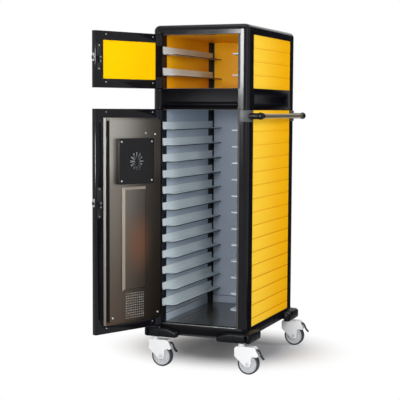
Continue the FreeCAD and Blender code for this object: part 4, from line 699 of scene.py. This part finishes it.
def make_side_shade():
    """Black louvres and strip down the cassette's side as painted shade, and the pale folded edge beside it as
    painted highlight.
    """
    count, margin = 60, 0.01
    pitch = (BOX_HIGH - BOX_LOW - 2 * margin) / count
    grow = Growth("side_shade_louvres", Width=0.003, Length=CASSETTE_FACE - TRAY_STEP - 0.004, Thick=0.0012, Tilt=0.7)
    size = grow.node("ShaderNodeCombineXYZ", X=grow.size("Width"), Y=grow.size("Length"), Z=grow.size("Thick"))
    slat = grow.node("GeometryNodeMeshCube", Size=size)
    lean = grow.node("ShaderNodeCombineXYZ", Y=grow.size("Tilt"))
    leaning = grow.node("GeometryNodeTransform", Geometry=slat["Mesh"], Rotation=lean)
    spots = [(BOX_HALF + 0.0008, (CASSETTE_FACE + TRAY_STEP) / 2, BOX_LOW + margin + pitch * (i + 0.5))
             for i in range(count)]
    mesh = grow.grown(grow.sown(leaning, 0.0), spots, "shade_and_seam_black")
    place_piece("cassette_shade_louvres", mesh, DOOR_SWING, "lower_door", "shade_and_seam_black", "latch_black")
    backing = ((BOX_HALF, TRAY_STEP + 0.0008, BOX_LOW + 0.006),
               (BOX_HALF + 0.0006, CASSETTE_FACE - 0.002, BOX_HIGH - 0.006), 0.0002)
    shelf = ((BOX_HALF + 0.0007, TRAY_STEP, TRAY_LOW),
             (WINDOW_HALF + 0.0006, TRAY_STEP + 0.0006, TRAY_HIGH), 0.00025)
    place_blocks("cassette_shade_strip", [backing, shelf], DOOR_SWING, "lower_door", "shade_and_seam_black", "latch_black")
    edge = ((WINDOW_HALF, DOOR_INNER + 0.0006, TRAY_LOW),
            (WINDOW_HALF + 0.0006, TRAY_STEP + 0.0006, TRAY_HIGH), 0.00025)
    place_blocks("cassette_bright_edge", [edge], DOOR_SWING, "lower_door", "edge_trim", "chrome")


def make_fan_wheel():
    """Blower wheel behind the grille: hub, back disc and leaning blades."""
    grow = Growth("fan_wheel", Blades=24, Inner=0.015, Outer=0.058, Depth=0.012, Lean=0.5)
    blades, inner, outer, depth = (grow.size(label) for label in ("Blades", "Inner", "Outer", "Depth"))
    step = blades.math("DIVIDE", 2 * math.pi, blades)
    turn = grow.node("ShaderNodeCombineXYZ", X=grow.size("Lean"),
                     Z=grow.node("GeometryNodeInputIndex") * step)
    circle = grow.node("GeometryNodeMeshCircle", Vertices=blades, Radius=0.00001)
    blade = grow.node("GeometryNodeMeshCube",
                      Size=grow.node("ShaderNodeCombineXYZ", X=outer - inner, Y=0.0012, Z=depth))
    set_out = grow.moved(blade["Mesh"], x=(outer + inner) * 0.5)
    crown = grow.node("GeometryNodeInstanceOnPoints", Points=circle, Instance=set_out, Rotation=turn)
    disc = grow.node("GeometryNodeMeshCylinder", Vertices=48, Radius=outer, Depth=0.0016)
    hub = grow.node("GeometryNodeMeshCone", Vertices=32, Radius_Top=inner * 0.7, Radius_Bottom=inner,
                    Depth=depth * 1.1)
    back = depth * -0.5
    wheel = grow.joined(crown, grow.moved(disc["Mesh"], z=back), grow.moved(hub["Mesh"], z=back))
    mesh = grow.grown(wheel, [(0.0, 0.0, 0.0)], "blade_grey")
    place = DOOR_SWING @ Matrix.Translation((FAN_X, CASSETTE_FACE + 0.0095, FAN_Z)) @ FACING_IN
    place_piece("fan_blower_wheel", mesh, place, "fan", "blade_grey", "fan_black", "fan_impeller")


# ---- castors
RIB_ENDS, RIB_HALF, RIB_FACES = (0.0165, 0.0335), 0.0009, (0.0081, 0.0122)
WASHER = ((0.0088, 0.0221), (0.0088, 0.0229), (0.0060, 0.0231), (0.0040, 0.0231))
NUT = ((0.0075, 0.0229), (0.0075, 0.0262), (0.0062, 0.0272), (0.0030, 0.0272))


def make_castor_trim():
    """Ribs round the wheels' hubs, and hexagon nuts with washers on the axles."""
    for place_name, (x, y) in CASTORS.items():
        centre = CABINET_PLACE @ Vector((x + CASTOR_TRAIL, y, WHEEL_RADIUS))
        ribs, nuts = bmesh.new(), bmesh.new()
        for side in (-1, 1):
            outward = Matrix.Translation(centre) @ Matrix.Rotation(math.radians(-90.0 * side), 4, "X")
            for angle in range(0, 360, 30):
                spoke = outward @ Matrix.Rotation(math.radians(angle), 4, "Z")
                add_hull(ribs, [spoke @ Vector((radius, across, height)) for radius in RIB_ENDS
                                for across in (-RIB_HALF, RIB_HALF) for height in RIB_FACES])
            add_turned(nuts, WASHER, outward, 24)
            add_turned(nuts, NUT, outward, 6)
        place_piece("castor_spokes_" + place_name, mesh_of("spokes", ribs), Matrix.Identity(4),
                    "wheel_" + place_name, "wheel_grey", "wheel_grey")
        place_piece("castor_nuts_" + place_name, mesh_of("nuts", nuts), Matrix.Identity(4),
                    "castor_" + place_name, "wheel_grey", "steel")


# the pedal from its pin to the end of its pad: place along, place up, thickness and half width
PEDAL_BEND = ((-0.002, 0.0042, 0.0050, 0.0080), (0.006, 0.0050, 0.0052, 0.0080),
              (0.0125, 0.0015, 0.0052, 0.0078), (0.0180, -0.0070, 0.0050, 0.0078),
              (0.0215, -0.0160, 0.0048, 0.0082), (0.0255, -0.0245, 0.0050, 0.0098),
              (0.0310, -0.0315, 0.0052, 0.0108), (0.0365, -0.0365, 0.0046, 0.0108),
              (0.0392, -0.0385, 0.0024, 0.0094))


def squarish(share):
    """A sine or cosine pushed outwards, which makes a round section nearly square."""
    return math.copysign(abs(share) ** 0.5, share)


def make_pedals():
    """Thin curved brake pedals: a barrel on the pin, a narrow arm and a wider foot pad."""
    angles = [math.radians(30 * step + 15) for step in range(12)]
    for place_name, (x, y) in CASTORS.items():
        pivot = Matrix.Translation(CABINET_PLACE @ Vector((x + CASTOR_TRAIL + PEDAL_X, y, PEDAL_Z)))
        form = bmesh.new()
        rings = []
        for i, (along, up, thick, half) in enumerate(PEDAL_BEND):
            before, after = PEDAL_BEND[max(i - 1, 0)], PEDAL_BEND[min(i + 1, len(PEDAL_BEND) - 1)]
            path = Vector((after[0] - before[0], 0.0, after[1] - before[1])).normalized()
            outward = Vector((-path.z, 0.0, path.x))
            rings.append([form.verts.new(pivot @ (Vector((along, squarish(math.sin(angle)) * half, up))
                                                  + outward * squarish(math.cos(angle)) * thick / 2))
                          for angle in angles])
        bridge(form, rings)
        form.faces.new(rings[0])
        form.faces.new(rings[-1])
        add_sleeve(form, pivot @ Matrix.Rotation(math.radians(90.0), 4, "X"), 0.0028, 0.0056, 0.008)
        place_piece("brake_pedal_" + place_name, mesh_of("pedal", form, 50.0), Matrix.Identity(4),
                    "pedal_" + place_name, "pedal_black", "pedal_black", "castor_pedal_" + place_name)


def add_sleeve(form, place, inner, outer, half, edge=0.0006, steps=24):
    """A short tube about its own Z, added to a bmesh."""
    profile = ((inner, -half), (outer - edge, -half), (outer, edge - half), (outer, half - edge),
               (outer - edge, half), (inner, half))
    rings = turned_rings(form, profile, place, steps)
    bridge(form, rings + rings[:1])


def add_hull(form, corners):
    """A closed block through eight corners, added to a bmesh."""
    verts = [form.verts.new(corner) for corner in corners]
    for ring in ((0, 1, 3, 2), (4, 6, 7, 5), (0, 4, 5, 1), (2, 3, 7, 6), (0, 2, 6, 4), (1, 5, 7, 3)):
        form.faces.new([verts[i] for i in ring])


# ---- inside the heated compartment
def make_floor_upstand():
    """Turned-up rim of the floor pan along the side and back walls, and the dark seam over it."""
    height, thick, seam, bevel = 0.036, 0.0012, 0.0024, 0.0003
    front_gap, corner_gap, rear_gap = 0.012, 0.012, 0.052
    for name, low, high, finish, slot in (
            ("floor_upstand", 0.0, height, "liner_grey", "liner_grey"),
            ("floor_upstand_seam", height, height + seam, "shade_and_seam_black", "latch_black")):
        low, high = FLOOR_LEVEL + low, FLOOR_LEVEL + high
        blocks = [((left, FRONT_POST + front_gap, low), (right, BACK_FACE - rear_gap, high), bevel)
                  for left, right in ((-WALL_FACE, thick - WALL_FACE), (WALL_FACE - thick, WALL_FACE))]
        blocks.append(((corner_gap - WALL_FACE, BACK_FACE - thick, low),
                       (WALL_FACE - corner_gap, BACK_FACE, high), bevel))
        place_blocks(name, blocks, CABINET_PLACE, "cabinet", finish, slot)


# ---- corner bumpers
def bumper_plan(angle):
    """Inner and outer point of the bumper on a ray from the middle of the cabinet's rounded corner."""
    across, ahead = math.sin(angle), math.cos(angle)
    reach, flat = CORNER + BUMPER_OUT, CORNER + BUMPER_OUT - BUMPER_ROUND
    steep = max(across, ahead)
    outer = reach / steep
    if outer * min(across, ahead) > flat:
        middle = flat * (across + ahead)
        outer = middle + math.sqrt(middle ** 2 - 2 * flat ** 2 + BUMPER_ROUND ** 2)
    return [Vector((radius * across, -radius * ahead)) for radius in (CORNER + BUMPER_GAP, outer)]


def bumper_stations():
    """Inner point, outer point, underside and top along the path of the right-hand front bumper."""
    stations = []
    leg = [BUMPER_LEG - CORNER - step for step in (0.0, 0.0015, 0.004, 0.008, 0.013, 0.020, 0.030, 0.040,
                                                   0.050, 0.060, 0.070, 0.080)] + [0.0]
    groove = [-GROOVE_FROM - CORNER + step for step in (0.0, -0.0004, -0.0046, -0.005)]
    for distance in sorted(leg + groove, reverse=True):
        at_end = BUMPER_LEG - CORNER - distance
        tuck = END_ROUND - math.sqrt(END_ROUND ** 2 - max(END_ROUND - at_end, 0.0) ** 2)
        rise = min(max((at_end - 0.004) / 0.060, 0.0), 1.0)
        out = BUMPER_OUT - tuck - (GROOVE_DEEP if distance in groove[1:3] else 0.0)
        stations.append((Vector((-distance, -CORNER - BUMPER_GAP)), Vector((-distance, -CORNER - out)),
                         BUMPER_LOW + tuck * 0.6, BUMPER_END_TOP + (BUMPER_TOP - BUMPER_END_TOP)
                         * rise * rise * (3 - 2 * rise)))
    back = [(Vector((-inner.y, -inner.x)), Vector((-outer.y, -outer.x)), low, max(top, SIDE_END_TOP))
            for inner, outer, low, top in stations if -inner.x not in groove]
    turns = [(angle, BUMPER_LOW) for angle in (6, 12, 18, 24, 42, 45, 48, 54, 60, 66, 72, 78, 84)]
    slot = [(30.4, BUMPER_LOW), (30.5, SLOT_TOP), (37.8, SLOT_TOP), (37.9, BUMPER_LOW)]
    for angle, low in turns + slot:
        stations.append((*bumper_plan(math.radians(angle)), low, BUMPER_TOP))
    stations += back
    return sorted(stations, key=lambda station: bearing(station[1]))


def bearing(point):
    """Order along the bumper's path: along the front, round the corner, along the side."""
    if point.x < 0:
        return point.x - 1.0
    if point.y > 0:
        return point.y + 2.0
    return math.atan2(point.x, -point.y) / math.pi


def make_bumpers():
    """Moulded corner bumpers whose top edges sweep down to their rounded ends."""
    # share of the way out, 0 for the underside or 1 for the top, and the height added to that
    section = ((0.0, 0.0, 0), (0.0, 1.0, 0), (0.35, 1.0, -0.0020), (0.68, 1.0, -0.0052), (0.88, 1.0, -0.0090),
               (0.97, 1.0, -0.0130), (1.0, 1.0, -0.0170), (1.0, 0.0, 0.0080), (0.96, 0.0, 0.0034),
               (0.86, 0.0, 0.0008), (0.72, 0.0, 0.0))
    form = bmesh.new()
    for flip_x in (1.0, -1.0):
        for flip_y in (False, True):
            rings = []
            for inner, outer, low, top in bumper_stations():
                ring = []
                for share, level, lift in section:
                    point = inner.lerp(outer, share)
                    y = point.y + CORNER
                    height = min(max(low + (top - low) * level + lift, low), top)
                    ring.append(form.verts.new((flip_x * (point.x + HALF_WIDTH - CORNER),
                                                DEPTH - y if flip_y else y, height)))
                rings.append(ring)
            bridge(form, rings)
            form.faces.new(rings[0])
            form.faces.new(rings[-1])
    boss = Matrix.Translation((HINGE.x, HINGE.y, BUMPER_TOP - 0.014))
    add_turned(form, ((0.0095, 0.0), (0.0095, 0.0125), (0.0085, 0.0135), (0.0030, 0.0138)), boss)
    bmesh.ops.remove_doubles(form, verts=form.verts, dist=1e-5)
    place_piece("moulded_bumpers", mesh_of("moulded_bumpers", form, 50.0), CABINET_PLACE, "cabinet",
                "bumper_black", "bumper_black", "corner_bumpers")


# ---- floor lip, catch and rails
def make_floor_lip():
    """Bright front edge of the floor pan."""
    lip = ((-HALF_OPENING + 0.001, LIP_FRONT, FLOOR_LEVEL + 0.0001),
           (HALF_OPENING - 0.001, LIP_FRONT + 0.003, FLOOR_LEVEL + 0.0014), 0.0005)
    place_blocks("floor_lip", [lip], CABINET_PLACE, "cabinet", "worn_zinc", "floor_grey")


def make_recess_catch():
    """Small bright catch near the back end of the right-hand band between the compartments."""
    place_blocks("recess_catch", [(CATCH_LOW, CATCH_HIGH, 0.0006)], CABINET_PLACE, "cabinet", "steel", "steel")


def rail_levels():
    """Heights of the ledges, lower compartment and upper."""
    return ([LOWER_RAIL_LOWEST + level * LOWER_RAIL_PITCH for level in range(LOWER_RAIL_COUNT)]
            + [UPPER_RAIL_LOWEST + level * UPPER_RAIL_PITCH for level in range(UPPER_RAIL_COUNT)])


def make_rail_edge_shading():
    """Strip that follows the free edge of every ledge round its front corner: dark on the left side as painted
    shade under the edge, rail grey on the right where the edge is lit.
    """
    for name, side in (("left", -1.0), ("right", 1.0)):
        grow = Growth("rail_edge_shading_" + name, Front=RAIL_FRONT, Back=RAIL_BACK, Edge=LEDGE_EDGE, Flange=FLANGE_X,
                      Corner=RAIL_CORNER, Thick=0.0007, Height=0.0042)
        start, corner, end = (
            grow.node("ShaderNodeCombineXYZ", X=grow.size(across) * side, Y=grow.size(along))
            for across, along in (("Flange", "Front"), ("Edge", "Front"), ("Edge", "Back")))
        first = grow.node("GeometryNodeCurvePrimitiveLine", Start=start, End=corner)
        points = grow.node("GeometryNodeResampleCurve", {"mode": "COUNT"}, Curve=first, Count=3)
        index = grow.node("GeometryNodeInputIndex")
        path = points
        for number, spot in ((2, end), (1, corner)):
            chosen = grow.node("FunctionNodeCompare", {"data_type": "INT", "operation": "EQUAL"},
                               A=index, B=number)
            path = grow.node("GeometryNodeSetPosition", Geometry=path, Selection=chosen, Position=spot)
        bend = grow.node("GeometryNodeFilletCurve", {"mode": "POLY"}, Curve=path, Radius=grow.size("Corner"),
                         Count=8)
        section = grow.node("GeometryNodeCurvePrimitiveQuadrilateral", Width=grow.size("Thick") * 2.0,
                            Height=grow.size("Height"))
        strip = grow.node("GeometryNodeCurveToMesh", {}, Curve=bend, Profile_Curve=section, Fill_Caps=True)
        # painted shade on the left; the lit right side keeps the rail's grey
        finish = "rail_edge_shading" if name == "left" else "rail_grey"
        mesh = grow.grown(grow.sown(strip, 0.0), [(0.0, 0.0, z - 0.0008) for z in rail_levels()], finish)
        place_piece("rail_edge_shading_" + name, mesh, CABINET_PLACE, "cabinet", finish, "upright_black")


ROLLED = {"handle_brackets": 0.0015, "fan_cover": 0.0016, "base_frame": 0.0012, "mid_rails": 0.001,
          "upper_door_frame": 0.0012, "lower_door_frame": 0.0012,
          "upper_latch_lever": 0.001, "lower_latch_lever": 0.001}
POLISHED = ("corner_post_front_left", "corner_post_front_right", "corner_post_rear_left",
            "corner_post_rear_right", "top_frame")


# ---- stage and light
def mix_shader(tree, factor, first, second):
    return add_node(tree, "ShaderNodeMixShader", inputs={0: factor, 1: first, 2: second})


def seen_directly(tree):
    """1 for the camera's rays and for what gloss and glass show."""
    path = add_node(tree, "ShaderNodeLightPath")
    return (path["Is Camera Ray"] + path["Is Glossy Ray"] + path["Is Transmission Ray"]).least(1.0)


def emptied_tree(owner):
    """The node tree of a new material or world with nothing in it."""
    owner.use_nodes = True
    owner.node_tree.nodes.clear()
    return owner.node_tree


def stage_sheet(name, corners, faces, cover):
    """A sheet that belongs to the stage and not to the cart."""
    sheet = bpy.data.meshes.new(name)
    sheet.from_pydata(corners, [], faces)
    sheet.materials.append(cover)
    board = add_object(name, sheet)
    return board


SHADOW_CENTRE, SHADOW_STRETCH = (-0.02, 0.33, 0.0), (1.15, 1.0, 1.0)
SHADOW_GREY_RISE, WHITE_RISE = (0.05, 0.5), (0.2, 0.58)      # how far out the paper turns paler, and white


def set_stage():
    """Pale paper floor: matt near the cart, where its shadow falls and its grey is painted darker as shadow,
    plain white further out.
    """
    paper = bpy.data.materials.new("studio_paper")
    tree = emptied_tree(paper)
    place = add_node(tree, "ShaderNodeTexCoord")["Object"]
    place = add_node(tree, "ShaderNodeMapping", {"vector_type": "TEXTURE"},
                     {"Vector": place, "Location": SHADOW_CENTRE, "Scale": SHADOW_STRETCH})
    out = add_node(tree, "ShaderNodeVectorMath", {"operation": "LENGTH"}, {0: place})["Value"]
    # painted shadow: the matt paper a darker grey near the cart, paler further out
    grey = add_node(tree, "ShaderNodeMix", {"data_type": "RGBA"},
                    {0: out.rise(*SHADOW_GREY_RISE), 6: (0.5, 0.5, 0.51, 1.0), 7: (0.82, 0.82, 0.83, 1.0)})[2]
    matt = add_node(tree, "ShaderNodeBsdfDiffuse", inputs={"Color": grey})
    white = add_node(tree, "ShaderNodeEmission", inputs={"Color": (1.0, 1.0, 1.0, 1.0), "Strength": 1.0})
    shown = mix_shader(tree, seen_directly(tree) * out.rise(*WHITE_RISE), matt, white)
    add_node(tree, "ShaderNodeOutputMaterial", inputs={"Surface": shown})
    half = 14.0
    stage_sheet("studio_floor", [(-half, -half, 0), (half, -half, 0), (half, half, 0), (-half, half, 0)],
                [(0, 1, 2, 3)], paper)


def set_world():
    """Soft light from all round; the camera and gloss see plain white."""
    world = bpy.data.worlds.new("studio")
    bpy.context.scene.world = world
    tree = emptied_tree(world)
    soft, white = (add_node(tree, "ShaderNodeBackground", inputs={"Color": colour, "Strength": strength})
                   for colour, strength in (((0.96, 0.97, 1.0, 1.0), 0.23), ((1.0, 1.0, 1.0, 1.0), 1.0)))
    shown = mix_shader(tree, seen_directly(tree), soft, white)
    add_node(tree, "ShaderNodeOutputWorld", inputs={"Surface": shown})


def soft_box(name, place, target, width, height, power):
    lamp = bpy.data.lights.new(name, "AREA")
    lamp.shape, lamp.size, lamp.size_y, lamp.energy = "RECTANGLE", width, height, power
    box = add_object(name, lamp)
    box.location = place
    box.rotation_euler = (Vector(target) - Vector(place)).to_track_quat("-Z", "Y").to_euler()
    return box


def set_dark_flag():
    """Dark boards on the floor and upright behind the cart's right side, seen by gloss alone."""
    cloth = bpy.data.materials.new("flag_cloth")
    tree = emptied_tree(cloth)
    matt = add_node(tree, "ShaderNodeBsdfDiffuse", inputs={"Color": (0.02, 0.02, 0.022, 1.0)})
    add_node(tree, "ShaderNodeOutputMaterial", inputs={"Surface": matt})
    left, right, near, behind, low, top = 0.45, 2.6, 0.2, 1.6, 0.002, 2.6
    flag = stage_sheet("dark_flag", [(left, near, low), (right, near, low), (right, behind, low),
                                     (left, behind, low), (right, behind, top), (left, behind, top)],
                       [(0, 1, 2, 3), (3, 2, 4, 5)], cloth)
    flag.visible_camera = flag.visible_diffuse = flag.visible_shadow = flag.visible_transmission = False


CART_MIDDLE = (0.0, 0.0, 0.9)
# name, place, what it faces, width, height, power, and whether gloss shows it
LAMPS = (("front_box", (3.6, -4.7, 2.5), CART_MIDDLE, 0.9, 2.2, 88.0, False),
         ("fill_box", (0.5, -5.5, 1.38), CART_MIDDLE, 1.0, 1.0, 105.0, False),
         ("side_box", (3.8, -1.8, 2.3), CART_MIDDLE, 0.9, 2.0, 26.0, False),
         ("rear_side_box", (4.2, 1.5, 2.3), CART_MIDDLE, 0.9, 2.0, 42.0, False),
         ("left_box", (-3.4, -3.2, 2.6), CART_MIDDLE, 1.4, 2.2, 20.0, True),
         ("right_box", (2.9, -1.1, 1.9), (0.2, 0.0, 1.0), 0.5, 2.0, 10.0, True),
         ("back_box", (-2.6, 4.6, 2.6), CART_MIDDLE, 2.4, 2.4, 30.0, False),
         ("top_box", (0.3, -0.6, 3.8), CART_MIDDLE, 2.4, 2.4, 30.0, True))


def set_lights():
    """The lamps, and the shine box, which only gloss shows."""
    for name, place, target, width, height, power, in_gloss in LAMPS:
        soft_box(name, place, target, width, height, power).visible_glossy = in_gloss
    shine = soft_box("shine_box", (0.22, -5.65, 1.95), (0.22, 0.0, 1.6), 4.0, 1.1, 900.0)
    shine.visible_diffuse = False


bpy.context.scene.view_settings.view_transform = "Standard"
set_camera()
dress_solids()
for rolled_node, roll_width in ROLLED.items():
    rolled_edges(rolled_node, roll_width)
for polished_node in POLISHED:
    polished_copy(polished_node)
for make in (make_screws, make_latches, make_inlet_rims, make_duct_highlights, make_side_shade, make_fan_wheel,
             make_castor_trim, make_pedals, make_floor_upstand, make_floor_lip, make_recess_catch,
             make_rail_edge_shading, make_bumpers):
    make()
set_stage()
set_world()
set_dark_flag()
set_lights()
